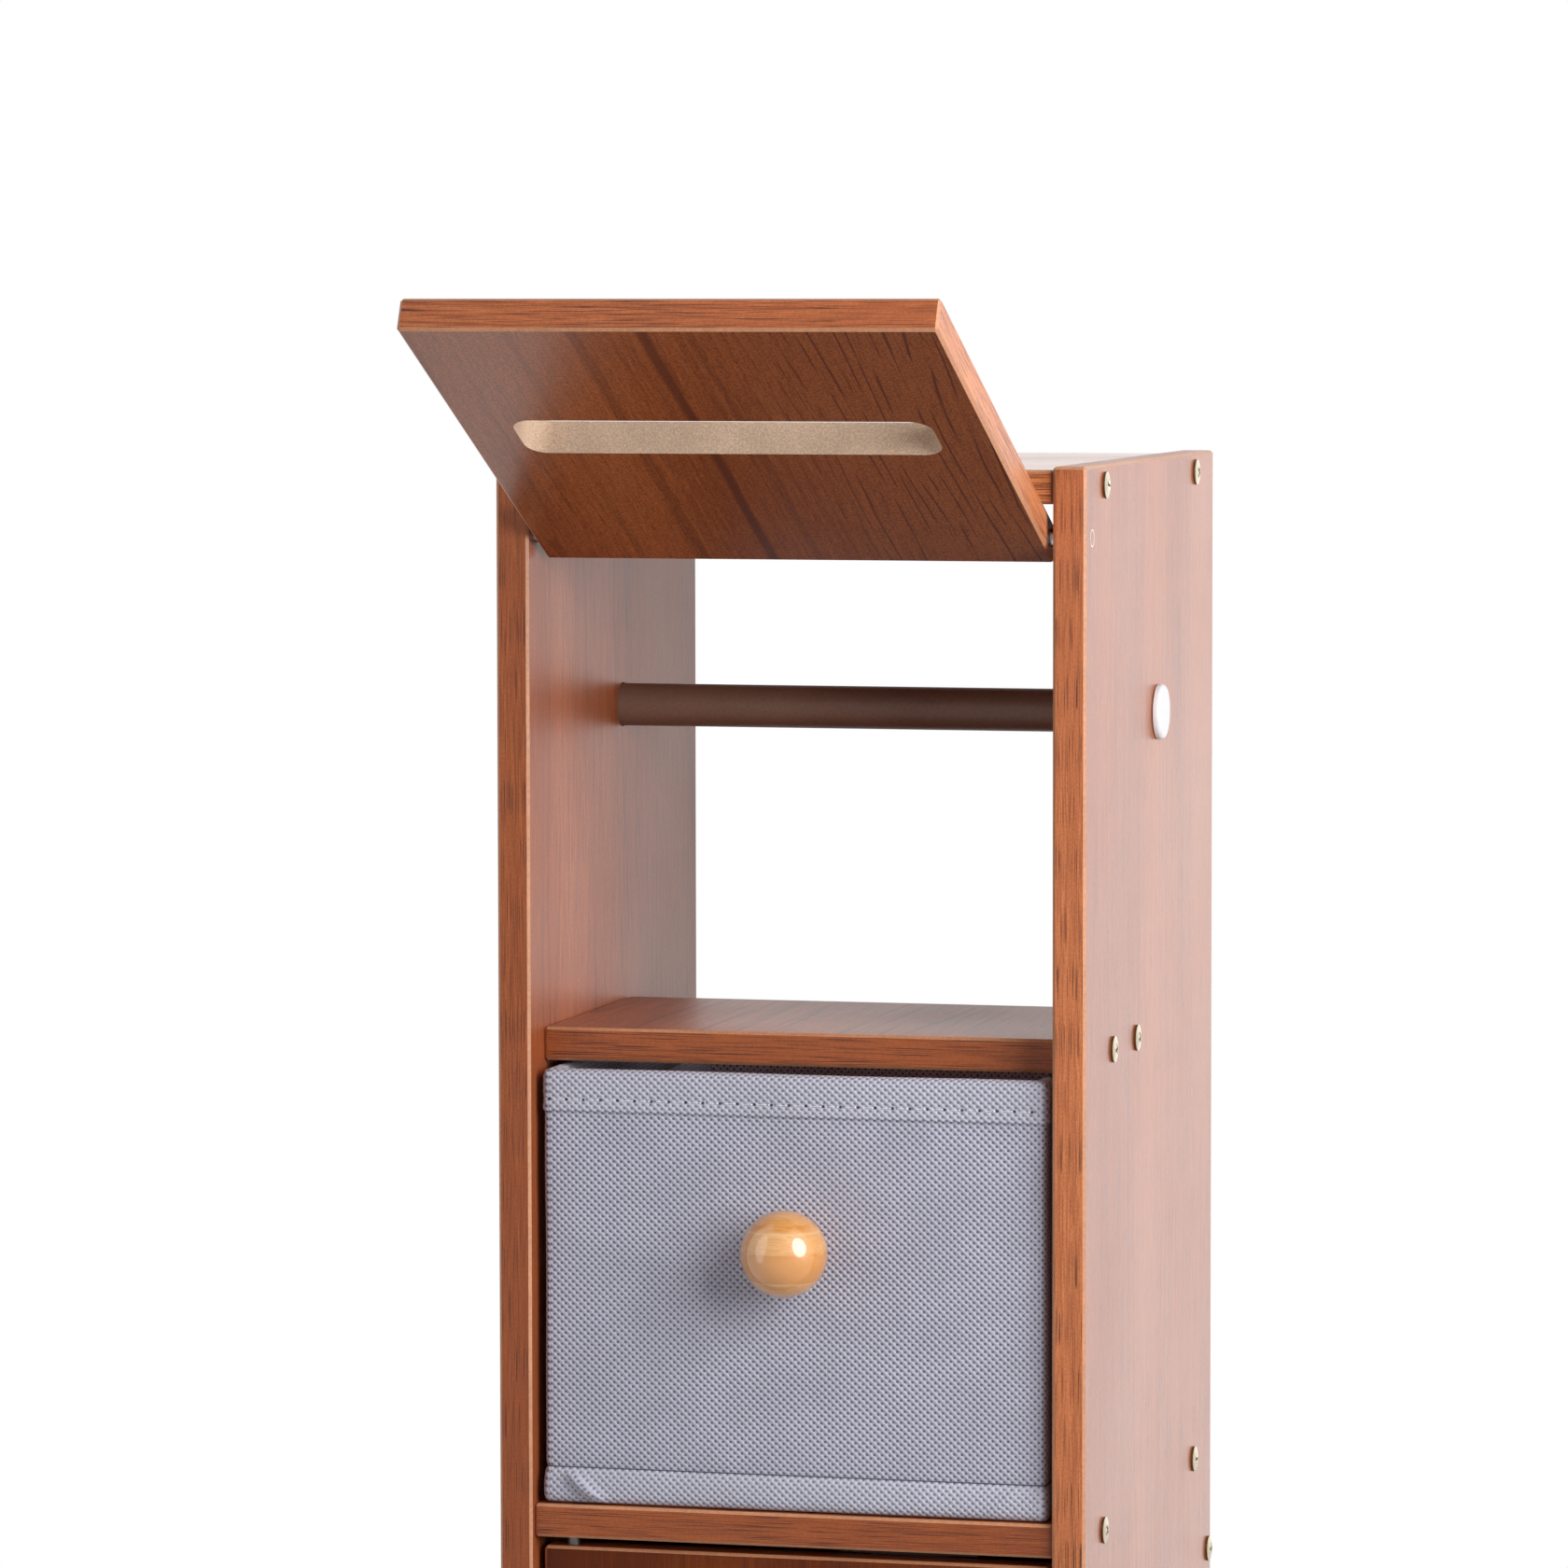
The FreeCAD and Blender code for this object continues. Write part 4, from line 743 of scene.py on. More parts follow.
def varnished_wood(settings):
    """Pale turned wood under a clear gloss varnish."""
    low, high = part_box("drawer_knob")
    ring_place = low.z + KNOB_RING_SHARE * (high.z - low.z)
    ring_pitch = KNOB_PITCH_SHARE * (high.z - low.z)
    dark = rgba(settings.knob_dark)
    middle = (Vector(settings.knob_light) + Vector(settings.knob_dark)) / 2
    material, graph, shader, place = new_material("varnished_knob_wood")
    grain = grain_along(graph, place, ACROSS, Light=rgba(settings.knob_light), Middle=rgba(middle),
                        Dark=dark, Fineness=KNOB_FINENESS, Veins=KNOB_VEIN_SHARE, Pores=KNOB_PORE_SHARE)
    up = graph.node("ShaderNodeSeparateXYZ", Vector=place).outputs["Z"]
    ring = graph.math("FRACT", graph.math("DIVIDE", graph.math("SUBTRACT", up, ring_place), ring_pitch))
    under_top = graph.math("LESS_THAN", up, ring_place + ring_pitch)
    deep = graph.times(graph.fall(ring, KNOB_RING_TONE), under_top, KNOB_TONE_SHARE)
    line = graph.times(graph.fall(graph.off_whole(ring), KNOB_RING_LINE), KNOB_LINE_SHARE)
    colour = graph.mix(line, graph.mix(deep, grain["Color"], dark), rgba(settings.knob_pale))
    satin_skin(graph, shader, place, PEEL_CELLS, KNOB_ROUGHNESS, KNOB_SPREAD)
    join_surface(graph, shader, colour, grain["Height"], KNOB_GRAIN_DEPTH, KNOB_COAT)
    return material


def cloth_finish(name, settings, sewing=None):
    """Dot-pressed non-woven cloth, read along the cloth itself, with holes and a seam if it is sewn; the
    holes and the seam line are painted dark as painted shade.
    """
    material, graph, shader, place = new_material(name)
    pit = rgba(settings.pit)
    along = graph.node("ShaderNodeUVMap", {"uv_map": CLOTH_MAP}).outputs["UV"]
    dots = graph.group("Pressed Dots", Vector=along, Across=settings.dot_across, Up=settings.dot_up)
    clouds = graph.step(graph.noise(place, CLOUD_DETAIL, CLOTH_CLOUD_CELLS), CLOTH_CLOUD_RANGE)
    colour = graph.mix(clouds, rgba(Vector(settings.colour) * CLOTH_DIM_SHARE), rgba(settings.colour))
    colour = graph.mix(graph.times(dots["Fibres"], FIBRE_TINT_SHARE), colour, pit)
    colour = graph.mix(dots["Pits"], colour, pit)
    if sewing:
        hem_row, pitch, seam_row = sewing
        sewn = graph.group("Sewn Lines", Vector=along, Hem_Row=hem_row, Pitch=pitch, Seam_Row=seam_row)
        doubled = graph.times(sewn["Doubled"], DOUBLED_SHARE)
        colour = graph.mix(doubled, colour, rgba(settings.thread))
        # Needle holes and the seam line are painted near black: painted shade.
        hole_seam_shade = rgba(Vector(settings.pit) * HOLE_SEAM_SHADE_SHARE)
        colour = graph.mix(graph.math("MAXIMUM", sewn["Holes"], sewn["Seam"]), colour, hole_seam_shade)
    join_surface(graph, shader, colour, dots["Height"], DOT_DEPTH, CLOTH_SHEEN)
    return material


# Boards

def turned(angle, axis):
    """A turn about an axis."""
    return Matrix.Rotation(angle, 4, axis)


def dress(node, *materials):
    """Gives a CAD node its materials, in order."""
    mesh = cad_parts[node].data
    mesh.materials.clear()
    for material in materials:
        mesh.materials.append(material)
    return mesh


def round_off(*nodes):
    """Shades turned CAD nodes smoothly up to their sharp rims."""
    for node in nodes:
        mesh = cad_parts[node].data
        mesh.shade_smooth()
        mesh.set_sharp_from_angle(angle=TURNED_SHARP)


def box_of(points):
    """Lowest and highest corners of some points."""
    spans = list(zip(*points))
    return Vector([min(span) for span in spans]), Vector([max(span) for span in spans])


def facet_slots(mesh, turn):
    """Sorts a board's facets into faces, edges by the axis that they run along, bevels and cuts."""
    low, high = box_of([turn @ vertex.co for vertex in mesh.vertices])
    thin = min(AXES, key=lambda axis: high[axis] - low[axis])
    rotation = turn.to_3x3()
    slots = []
    for facet in mesh.polygons:
        normal = rotation @ facet.normal
        middle = turn @ facet.center
        main = max(AXES, key=lambda axis: abs(normal[axis]))
        depth = [min(middle[axis] - low[axis], high[axis] - middle[axis]) for axis in AXES]
        if abs(normal[main]) > FLAT_COSINE and depth[main] < PLANE_SLACK:
            run = next(axis for axis in AXES if axis not in (main, thin))
            slots.append(FACE_SLOT if main == thin else EDGE_SLOT + run)
        elif sum(reach < BEVEL_REACH for reach in depth) > 1:
            slots.append(BEVEL_SLOT)
        else:
            slots.append(CUT_SLOT)
    return slots


class RACK_OT_boards(bpy.types.Operator):
    """Give the boards their wood-grain faces, banded edges, bevel lines and raw cuts"""

    bl_idname = "rack.boards"
    bl_label = "Boards"

    def execute(self, context):
        settings = context.scene.rack_laminate
        # The lid's own darker tones are painted shade; the door's are partly its darker print, partly
        # painted shade.
        own_tones = {
            "lid": (settings.lid_light, settings.lid_middle),
            "door": (settings.door_light, settings.door_middle),
        }
        figures = {"lid": (lid_figure, settings.dark)}
        faces = {}
        for look, way in FACE_GRAIN.items():
            faces[look] = laminate("laminate_" + look, settings, look, way, own_tones.get(look),
                                   figures.get(look))
        bands = {}
        # Bands with shares other than 1 are painted light and painted shade.
        for name, (way, shares) in EDGE_BANDS.items():
            tones = (tinted(settings.light, shares), tinted(settings.middle, shares))
            bands[name] = laminate("edge_band_" + name, settings, "band", way, tones)
        # The pale bevel line is partly a painted highlight.
        line = speckled("bevel_line", settings.edge)
        raw = speckled("raw_fibreboard", settings.raw)
        for node, (look, edges) in BOARDS.items():
            mesh = dress(node, faces[look], *(bands[edge] for edge in edges), line, raw, faces["inner"])
            slots = facet_slots(mesh, turned(BOARD_TILTS.get(node, 0.0), "X"))
            if node in SIDE_PANELS:
                for number, facet in enumerate(mesh.polygons):
                    if slots[number] == FACE_SLOT and facet.normal.x * facet.center.x < 0:
                        slots[number] = INNER_SLOT
            mesh.polygons.foreach_set("material_index", slots)
            mesh.update()
        return {"FINISHED"}


# New meshes and screws

def skin_between(bm, loops, close_ends=False):
    """Joins rings of equal length with four-sided faces, and returns those faces ring by ring."""
    strips = []
    for lower, upper in zip(loops, loops[1:]):
        count = len(lower)
        strips.append([bm.faces.new((lower[i], lower[(i + 1) % count], upper[(i + 1) % count], upper[i]))
                       for i in range(count)])
    if close_ends:
        bm.faces.new(tuple(reversed(loops[0])))
        bm.faces.new(tuple(loops[-1]))
    return strips


def add_object(name, bm, *materials):
    """Turns a bmesh into an object of the scene."""
    mesh = bpy.data.meshes.new(name)
    bm.to_mesh(mesh)
    bm.free()
    for material in materials:
        mesh.materials.append(material)
    made = bpy.data.objects.new(name, mesh)
    bpy.context.scene.collection.objects.link(made)
    return made


def add_piece(name, bm, body, slot, *materials):
    """Turns a bmesh into a smooth piece that rides on a body."""
    piece = add_object(name, bm, *materials)
    piece.data.shade_smooth()
    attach(piece, body)
    return piece


def islands(node):
    """Boxes of a node's separate solids, as lowest and highest corners."""
    bm = bmesh.new()
    bm.from_mesh(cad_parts[node].data)
    bmesh.ops.remove_doubles(bm, verts=bm.verts, dist=WELD_REACH)
    left = set(bm.verts)
    boxes = []
    while left:
        grown = [left.pop()]
        points = []
        while grown:
            vertex = grown.pop()
            points.append(vertex.co.copy())
            for edge in vertex.link_edges:
                other = edge.other_vert(vertex)
                if other in left:
                    left.discard(other)
                    grown.append(other)
        boxes.append(box_of(points))
    bm.free()
    return sorted(boxes, key=lambda box: tuple(box[0]))


def screw_sizes(kind):
    """Sizes of a kind of screw in metres, in the order of its row."""
    return [size * MM for size in SCREW_KINDS_MM[kind]]


def screw_profile(kind, length):
    """Radius and height down a screw from its rim: edge, underside, thread and tip."""
    head_radius, _, rim, shank, tip, *_ = screw_sizes(kind)
    rows = [(head_radius * out, rim * up) for out, up in RIM_PROFILE_SHARES]
    rows.append((shank, 0.0))
    depth = THREAD_PITCH
    root = shank * (1 - THREAD_DEPTH_SHARE)
    while depth < length - tip:
        rows += [(root, -depth), (shank, -depth - THREAD_PITCH / 2)]
        depth += THREAD_PITCH
    rows.append((root, tip - length))
    return rows


def add_screw(bm, place, kind, length):
    """Adds one domed cross-recess screw, head up +Z of its place."""
    head_radius, head_height, rim, _, _, span, width, sink = screw_sizes(kind)
    rise = head_height - rim
    dome = (head_radius ** 2 + rise ** 2) / (2 * rise)

    def recess(x, y):
        narrow, wide = sorted((abs(x), abs(y)))
        return max(0.0, min((width / 2 - narrow) / RECESS_TAPER, (span / 2 - wide) / RECESS_TAPER, 1.0))

    def top(x, y):
        return head_height - dome + math.sqrt(dome ** 2 - math.hypot(x, y) ** 2) - sink * recess(x, y)

    def ring(radius, height=None):
        verts = []
        for side in range(SCREW_SIDES):
            angle = math.tau * side / SCREW_SIDES
            x, y = radius * math.cos(angle), radius * math.sin(angle)
            verts.append(bm.verts.new(place @ Vector((x, y, top(x, y) if height is None else height))))
        return verts

    crown = bm.verts.new(place @ Vector((0, 0, top(0, 0))))
    loops = [ring(head_radius * (number + 1) / SCREW_RINGS) for number in range(SCREW_RINGS)]
    loops += [ring(radius, height) for radius, height in screw_profile(kind, length)]
    point = bm.verts.new(place @ Vector((0, 0, -length)))
    # The crown lies in the cross recess, so its faces take the darker zinc as painted shade.
    for side in range(SCREW_SIDES):
        after = (side + 1) % SCREW_SIDES
        bm.faces.new((crown, loops[0][side], loops[0][after])).material_index = SHADE_PAINTED_SLOT
        bm.faces.new((point, loops[-1][after], loops[-1][side]))
    back = place.inverted()
    # Faces in the cross recess and on the rim take the darker zinc: painted shade, and on the rim a painted
    # reflection of the dark panel.
    rim_strips = range(SCREW_RINGS - 1, SCREW_RINGS - 1 + len(RIM_PROFILE_SHARES))
    for number, strip in enumerate(skin_between(bm, loops)):
        for face in strip:
            middle = back @ face.calc_center_median()
            pit_painted_shade = number < SCREW_RINGS and recess(middle.x, middle.y) > 0
            face.material_index = SHADE_PAINTED_SLOT if pit_painted_shade or number in rim_strips else PLATED_SLOT


class RACK_OT_screws(bpy.types.Operator):
    """Build the domed cross-recess screws in place of the plain ones"""

    bl_idname = "rack.screws"
    bl_label = "Screws"

    def execute(self, context):
        settings = context.scene.rack_fittings
        plated = speckled("yellow_zinc", settings.zinc)
        # Darker zinc for rims and recesses: painted shade and painted reflection.
        shade_painted_zinc = speckled("shaded_zinc", tinted(settings.zinc, ZINC_PAINTED_SHADE_SHARES))
        chance = random.Random(SCREW_SEED)
        for name, node, body, kind, way in SCREW_GROUPS:
            axis = max(AXES, key=lambda number: abs(way[number]))
            turn = Vector(way).to_track_quat("Z", "Y").to_matrix().to_4x4()
            _, head_height, *_ = screw_sizes(kind)
            bm = bmesh.new()
            for low, high in islands(node):
                middle = (low + high) / 2
                head, tip = (high[axis], low[axis]) if way[axis] > 0 else (low[axis], high[axis])
                middle[axis] = head - way[axis] * head_height
                spin = turned(chance.uniform(0, QUARTER_TURN), "Z")
                add_screw(bm, Matrix.Translation(middle) @ turn @ spin, kind, abs(middle[axis] - tip))
            bmesh.ops.recalc_face_normals(bm, faces=bm.faces)
            piece = add_piece(name, bm, body, "screw_steel", plated, shade_painted_zinc)
            piece.data.set_sharp_from_angle(angle=SCREW_SHARP)
            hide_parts(node)
        return {"FINISHED"}


# Pins, plates, rod, knobs, catch and card

class RACK_OT_metal(bpy.types.Operator):
    """Give the pins, washer and strike plate their steel, and the lid pins their painted ends"""

    bl_idname = "rack.metal"
    bl_label = "Pins and Plates"

    def execute(self, context):
        settings = context.scene.rack_fittings
        steel = speckled("bright_steel", settings.steel)
        dress("drawer_knob_washer", steel)
        dress("door_strike_plate", steel)
        # The door pins take a dark steel: painted shade of the gap under the drawer shelf.
        dress("door_pivot_pins", speckled("dull_steel", settings.dull_painted_shade))
        paint = laminate("pin_end_paint", context.scene.rack_laminate, "upright", UPRIGHT,
                         figure=(pin_outline, PIN_RING_PALE))
        mesh = dress("lid_pivot_pins", steel, paint)
        reach = max(abs(vertex.co.x) for vertex in mesh.vertices) - PLANE_SLACK
        ends = [int(abs(facet.center.x) > reach) for facet in mesh.polygons]
        mesh.polygons.foreach_set("material_index", ends)
        round_off("lid_pivot_pins", "door_pivot_pins", "drawer_knob_washer", "door_strike_plate")
        return {"FINISHED"}


class RACK_OT_rod(bpy.types.Operator):
    """Paint the rod and finish its white end cap"""

    bl_idname = "rack.rod"
    bl_label = "Rod"

    def execute(self, context):
        settings = context.scene.rack_fittings
        dress("roll_rod", speckled("rod_paint", settings.rod))
        dress("rod_end_cap", speckled("cap_plastic", settings.white))
        round_off("roll_rod", "rod_end_cap")
        return {"FINISHED"}


class RACK_OT_knobs(bpy.types.Operator):
    """Varnish the two ball knobs"""

    bl_idname = "rack.knobs"
    bl_label = "Knobs"

    def execute(self, context):
        wood = varnished_wood(context.scene.rack_fittings)
        for node in ("drawer_knob", "door_knob"):
            dress(node, wood)
            round_off(node)
        return {"FINISHED"}


class RACK_OT_catch(bpy.types.Operator):
    """Finish the door catch and the card boards in the drawer"""

    bl_idname = "rack.catch"
    bl_label = "Catch and Card"

    def execute(self, context):
        settings = context.scene.rack_fittings
        # The catch housing takes a near-black brown: painted shade of the gap it sits in.
        dress("door_catch_housing", speckled("catch_plastic", settings.catch_painted_shade))
        dress("door_catch_magnet", speckled("ferrite", settings.magnet))
        card = speckled("grey_card", settings.card)
        for board in CARD_BOARDS:
            dress(board, card)
        return {"FINISHED"}


# Cloth of the drawer

def way_at(angle):
    """Level way out at an angle."""
    return Vector((math.cos(angle), math.sin(angle)))


def wave(spot, height, cells, reach):
    """A gentle unevenness of cloth at a place."""
    return noise.noise(Vector((*spot, height)) * cells) * reach


class DrawerWall:
    """Outer wall of the drawer's cover: where it stands, its half sizes, its height and its path."""

    def __init__(self, node):
        low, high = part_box(node)
        self.centre = Vector(((low.x + high.x) / 2, (low.y + high.y) / 2, low.z))
        self.half = Vector(((high.x - low.x) / 2 - HEM_STEP, (high.y - low.y) / 2 - HEM_STEP))
        self.tall = high.z - low.z
        self.path, self.length = self.measured(self.round_spots())

    def round_spots(self):
        """Places and ways out round a box with rounded corners, from the front's left."""
        x, y = self.half - Vector((CORNER_RADIUS, CORNER_RADIUS))
        before = Vector((-x, -self.half.y))
        spots = []
        for quarter, corner in enumerate(Vector(pair) for pair in ((x, -y), (x, y), (-x, y), (-x, -y))):
            start_angle = (quarter - 1) * QUARTER_TURN
            out = way_at(start_angle)
            end = corner + out * CORNER_RADIUS
            steps = max(LEAST_STEPS, round((end - before).length / CLOTH_STEP))
            spots += [(before.lerp(end, number / steps), out) for number in range(steps)]
            for number in range(CORNER_STEPS):
                out = way_at(start_angle + QUARTER_TURN * number / CORNER_STEPS)
                spots.append((corner + out * CORNER_RADIUS, out))
            before = corner + way_at(start_angle + QUARTER_TURN) * CORNER_RADIUS
        return spots

    def measured(self, spots):
        """Adds to each spot its distance along the path, and gives the whole path's length."""
        path = []
        run = 0.0
        before = spots[0][0]
        for spot, out in spots:
            run += (spot - before).length
            path.append((spot, out, run))
            before = spot
        return path, run + (spots[0][0] - before).length

    def at(self, run):
        """Place and way out at a distance along the path."""
        run %= self.length
        index = max(number for number, row in enumerate(self.path) if row[2] <= run)
        spot, out, begin = self.path[index]
        after, out_after, end = self.path[(index + 1) % len(self.path)]
        share = (run - begin) / ((end if end > begin else self.length) - begin)
        return spot.lerp(after, share), out.lerp(out_after, share).normalized()

    def offset(self, spot, out, reach):
        """Moves a point of the wall outwards, or inwards with a corner that stays round."""
        radius = max(CORNER_RADIUS + reach, TIGHT_CORNER)
        base = spot - out * CORNER_RADIUS
        inner = [half - CORNER_RADIUS for half in self.half]
        moved = [part * (half + reach - radius) / flat for part, half, flat in zip(base, self.half, inner)]
        return Vector(moved) + out * radius

    def shaped(self, spot, out, height, reach):
        """Places one point of the cloth: the wall waves a little, the rim more, and the foot puckers."""
        from_ends = min(height, self.tall - height)
        middle = max(0.0, min(1.0, from_ends / WAVE_FREE))
        sway = wave(spot, height, WALL_WAVE_CELLS, WALL_WAVE) * middle
        near_rim = max(0.0, 1 - (self.tall - height) / WAVE_FREE)
        lift = (wave(spot, 0.0, RIM_WAVE_CELLS, RIM_WAVE) - RIM_WAVE / 2) * near_rim
        pucker = 0.0
        if 0 < height < FOOT_TALL:
            corner = self.half.x - abs(spot.x)
            fold = (corner - PUCKER_START - (FOOT_TALL - height) * PUCKER_SLANT) / PUCKER_WIDTH
            ease = math.sin(math.pi * height / FOOT_TALL)
            pulled = 1.0 if spot.x < 0 and out.y < 0 else PUCKER_REST_SHARE
            pucker = PUCKER_RISE * pulled * math.exp(-fold * fold) * ease * out.y * out.y
            pucker += wave(spot, height, FOOT_WAVE_CELLS, FOOT_WAVE) * ease
            pucker += max(0.0, reach) * FOOT_PUFF_SHARE * out.y * out.y
        flat = self.offset(spot, out, reach) + out * (sway + pucker)
        return self.centre + Vector((flat.x, flat.y, height + lift))


def profile(points, base):
    """Rows of (height, reach) in metres, with their heights above a base."""
    return [(base + height * MM, reach * MM) for height, reach in points]


def cover_profile(tall):
    """Rows of the cover, from its floor up the wall and over the rim."""
    foot = profile(COVER_FOOT_MM, 0.0)
    hem = profile(COVER_HEM_MM, tall)
    start = foot[-1][0]
    rise = hem[0][0] - start
    count = round(rise / WALL_STEP)
    return foot + [(start + rise * step / count, 0.0) for step in range(1, count)] + hem


def climbs_of(rows):
    """Distance up the cloth at each row of (height, reach)."""
    climbs = [0.0]
    for (low, inset), (high, outset) in zip(rows, rows[1:]):
        climbs.append(climbs[-1] + math.hypot(high - low, outset - inset))
    return climbs


def climb_near(rows, height):
    """Distance up the cloth at the row nearest to a height."""
    return min(zip(rows, climbs_of(rows)), key=lambda pair: abs(pair[0][0] - height))[1]


def cloth_shell(wall, rows, floor_row):
    """Skins rows of (height, reach) round a wall; one end row is closed across as a flat floor."""
    bm = bmesh.new()
    layer = bm.loops.layers.uv.new(CLOTH_MAP)
    loops = []
    for height, reach in rows:
        loops.append([bm.verts.new(wall.shaped(spot, out, height, reach)) for spot, out, _ in wall.path])
    climbs = climbs_of(rows)
    runs = [run for _, _, run in wall.path] + [wall.length]
    for row, strip in enumerate(skin_between(bm, loops)):
        for column, face in enumerate(strip):
            marks = ((column, row), (column + 1, row), (column + 1, row + 1), (column, row + 1))
            for corner, (across, up) in zip(face.loops, marks):
                corner[layer].uv = (runs[across], climbs[up])
    edge = loops[floor_row]
    hub = bm.verts.new(sum((vertex.co for vertex in edge), Vector()) / len(edge))
    for first, second in zip(edge, edge[1:] + edge[:1]):
        face = bm.faces.new((first, second, hub))
        for corner in face.loops:
            corner[layer].uv = corner.vert.co.xy
    bmesh.ops.recalc_face_normals(bm, faces=bm.faces)
    return bm


def add_stitch(bm, start, end, out, radius, rise):
    """Adds one bowed thread between two places on the cloth."""
    run = end - start
    side = run.normalized().cross(out)
    loops = []
    for ring in range(STITCH_RINGS):
        share = ring / (STITCH_RINGS - 1)
        bow = rise * math.sin(math.pi * share) - STITCH_SINK * (1 - math.sin(math.pi * share))
        middle = start + run * share + out * bow
        loop = []
        for step in range(STITCH_SIDES):
            angle = math.tau * step / STITCH_SIDES
            loop.append(bm.verts.new(middle + (side * math.cos(angle) + out * math.sin(angle)) * radius))
        loops.append(loop)
    skin_between(bm, loops, close_ends=True)


def sewn_hem(wall, height, count, pitch):
    """Threads along the hem: a long stitch and a small loop for each pitch."""
    bm = bmesh.new()
    for number in range(count):
        for middle, span, radius, rise in HEM_THREADS:
            ends = []
            for share in (middle - span / 2, middle + span / 2):
                spot, out = wall.at((number + share) * pitch)
                ends.append(wall.shaped(spot, out, height, HEM_STITCH_REACH))
            spot, out = wall.at((number + middle) * pitch)
            add_stitch(bm, *ends, out.to_3d(), radius, rise)
    return bm


def add_cloth(name, bm, material, node):
    """Turns a shell into cloth of its gauge, in place of a soft CAD node."""
    piece = add_piece(name, bm, "drawer", "fabric", material)
    thick = piece.modifiers.new("gauge", "SOLIDIFY")
    thick.thickness = CLOTH_GAUGE
    thick.offset = INWARDS
    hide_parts(node)
    return piece


class RACK_OT_drawer_cloth(bpy.types.Operator):
    """Sew the drawer's cover, lining and stitches over the plain cloth"""

    bl_idname = "rack.drawer_cloth"
    bl_label = "Drawer Cloth"

    def execute(self, context):
        settings = context.scene.rack_cloth
        wall = DrawerWall("drawer_fabric")
        count = round(wall.length / settings.stitch_pitch)
        pitch = wall.length / count
        rows = cover_profile(wall.tall)
        stitch_height = wall.tall - HEM_STITCH_DROP
        sewing = (climb_near(rows, stitch_height), pitch, climb_near(rows, SEAM_RISE))
        outer = cloth_finish("pressed_cloth", settings, sewing)
        cover = add_cloth("drawer_cover", cloth_shell(wall, rows, 0), outer, "drawer_fabric")
        inner = cloth_finish("lining_cloth", settings)
        lining_shell = cloth_shell(wall, profile(LINING_MM, wall.tall), -1)
        lining = add_cloth("drawer_lining_cloth", lining_shell, inner, "drawer_lining")
        # The pale thread of the loops is partly a painted highlight for their glints.
        thread = speckled("sewing_thread", settings.thread)
        hem = sewn_hem(wall, stitch_height, count, pitch)
        stitches = add_piece("hem_stitches", hem, "drawer", "fabric", thread)
        return {"FINISHED"}


# Studio

def add_lamp(name, place, size, power):
    """Adds a soft oval lamp aimed at the rack."""
    data = bpy.data.lights.new(name, "AREA")
    data.shape = "ELLIPSE"
    data.size, data.size_y = size
    data.energy = power
    lamp = bpy.data.objects.new(name, data)
    lamp.location = place
    lamp.visible_camera = False
    lamp.rotation_euler = (AIM - Vector(place)).to_track_quat("-Z", "Y").to_euler()
    bpy.context.scene.collection.objects.link(lamp)


def seen_directly(graph):
    """1 for camera, mirror and glass rays, which see plain white."""
    path = graph.node("ShaderNodeLightPath").outputs
    seen = graph.math("MAXIMUM", path["Is Camera Ray"], path["Is Glossy Ray"])
    return graph.math("MAXIMUM", seen, path["Is Transmission Ray"])


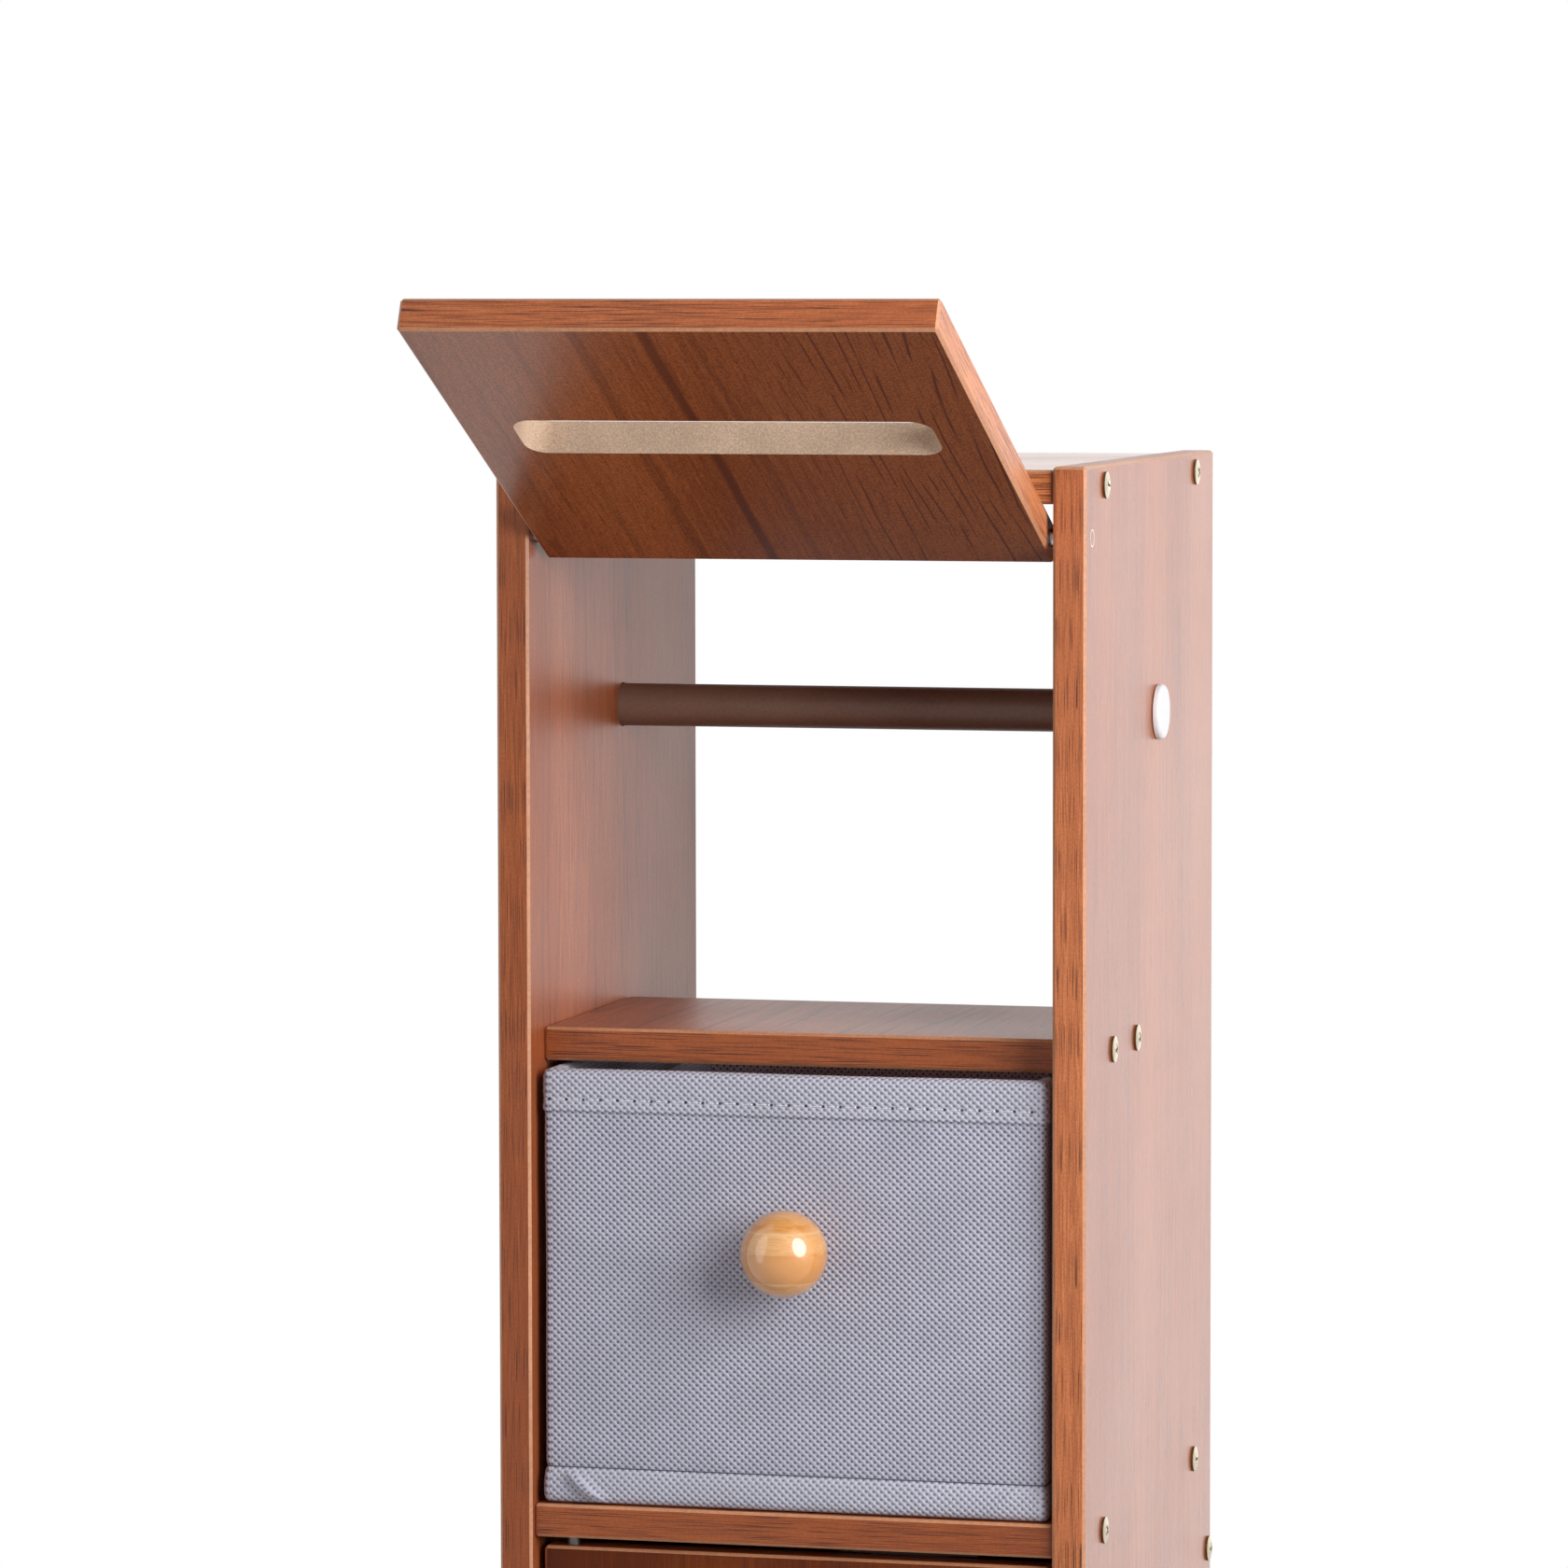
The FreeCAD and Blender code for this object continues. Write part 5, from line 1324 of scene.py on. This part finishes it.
class RACK_OT_stage(bpy.types.Operator):
    """Set the floor, the white surroundings, the lamps and the camera"""

    bl_idname = "rack.stage"
    bl_label = "Studio"

    def execute(self, context):
        scene = context.scene
        settings = scene.rack_stage
        scene.view_settings.view_transform = "Standard"
        scene.world = self.make_world(settings)
        self.add_floor(settings)
        for name, (place, size) in LAMPS.items():
            add_lamp(name + "_lamp", place, size, getattr(settings, name + "_power"))
        scene.camera = self.make_camera(settings)
        scene.collection.objects.link(scene.camera)
        return {"FINISHED"}

    def make_world(self, settings):
        world = bpy.data.worlds.new("white_surroundings")
        graph = fresh_graph(world)
        strength = graph.math("MULTIPLY_ADD", seen_directly(graph), 1 - settings.ambient, settings.ambient)
        sky = graph.node("ShaderNodeBackground", Color=WHITE, Strength=strength)
        graph.node("ShaderNodeOutputWorld", Surface=sky.outputs["Background"])
        return world

    def add_floor(self, settings):
        material = bpy.data.materials.new("pale_floor")
        graph = fresh_graph(material)
        place = graph.node("ShaderNodeTexCoord").outputs["Object"]
        away = graph.step(graph.vector("LENGTH", place), FLOOR_SHADOW_RADII)
        away = graph.math("MULTIPLY_ADD", away, 1 - FLOOR_GLOW_SHARE, FLOOR_GLOW_SHARE)
        blend = graph.node("ShaderNodeMixShader", Fac=graph.times(away, seen_directly(graph)))
        paint = graph.node("ShaderNodeBsdfDiffuse", Color=rgba(settings.floor)).outputs["BSDF"]
        glow = graph.node("ShaderNodeEmission", Color=WHITE).outputs["Emission"]
        for socket, shader in zip(blend.inputs[1:], (paint, glow)):
            graph.feed(socket, shader)
        graph.node("ShaderNodeOutputMaterial", Surface=blend.outputs["Shader"])
        bm = bmesh.new()
        bmesh.ops.create_circle(bm, cap_ends=True, segments=FLOOR_SIDES, radius=FLOOR_RADIUS)
        add_object("floor", bm, material)

    def make_camera(self, settings):
        data = bpy.data.cameras.new("camera")
        data.sensor_width = CAMERA_SENSOR
        data.lens = settings.lens
        camera = bpy.data.objects.new("camera", data)
        yaw = turned(settings.camera_yaw, "Z")
        dip = turned(QUARTER_TURN - settings.camera_dip, "X")
        roll = turned(settings.camera_roll, "Z")
        camera.matrix_world = Matrix.Translation(settings.camera_place) @ yaw @ dip @ roll
        return camera


# Panel and registration

class RACK_PT_sidebar(bpy.types.Panel):
    """Lists the rack's settings and steps"""

    bl_idname = "RACK_PT_sidebar"
    bl_label = "Slim Storage Rack"
    bl_space_type = "VIEW_3D"
    bl_region_type = "UI"
    bl_category = "Rack"

    def draw(self, context):
        for name in SETTINGS:
            box = self.layout.box()
            group = getattr(context.scene, name)
            box.label(text=name.replace("_", " ").title())
            for prop in group.__annotations__:
                box.prop(group, prop)
        for step in STEPS:
            self.layout.operator(step.bl_idname)


SETTINGS = {
    "rack_laminate": RackLaminate,
    "rack_cloth": RackCloth,
    "rack_fittings": RackFittings,
    "rack_stage": RackStage,
}
STEPS = (RACK_OT_boards, RACK_OT_screws, RACK_OT_metal, RACK_OT_rod, RACK_OT_knobs, RACK_OT_catch,
         RACK_OT_drawer_cloth, RACK_OT_stage)


def register():
    for group in SETTINGS.values():
        bpy.utils.register_class(group)
    for name, group in SETTINGS.items():
        setattr(bpy.types.Scene, name, PointerProperty(type=group))
    for step in (*STEPS, RACK_PT_sidebar):
        bpy.utils.register_class(step)


def unregister():
    for step in reversed((*STEPS, RACK_PT_sidebar)):
        bpy.utils.unregister_class(step)
    for name, group in reversed(SETTINGS.items()):
        delattr(bpy.types.Scene, name)
        bpy.utils.unregister_class(group)


def main():
    register()
    bpy.ops.rack.boards()
    bpy.ops.rack.screws()
    bpy.ops.rack.metal()
    bpy.ops.rack.rod()
    bpy.ops.rack.knobs()
    bpy.ops.rack.catch()
    bpy.ops.rack.drawer_cloth()
    bpy.ops.rack.stage()
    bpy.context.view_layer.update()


if __name__ == "__main__":
    main()
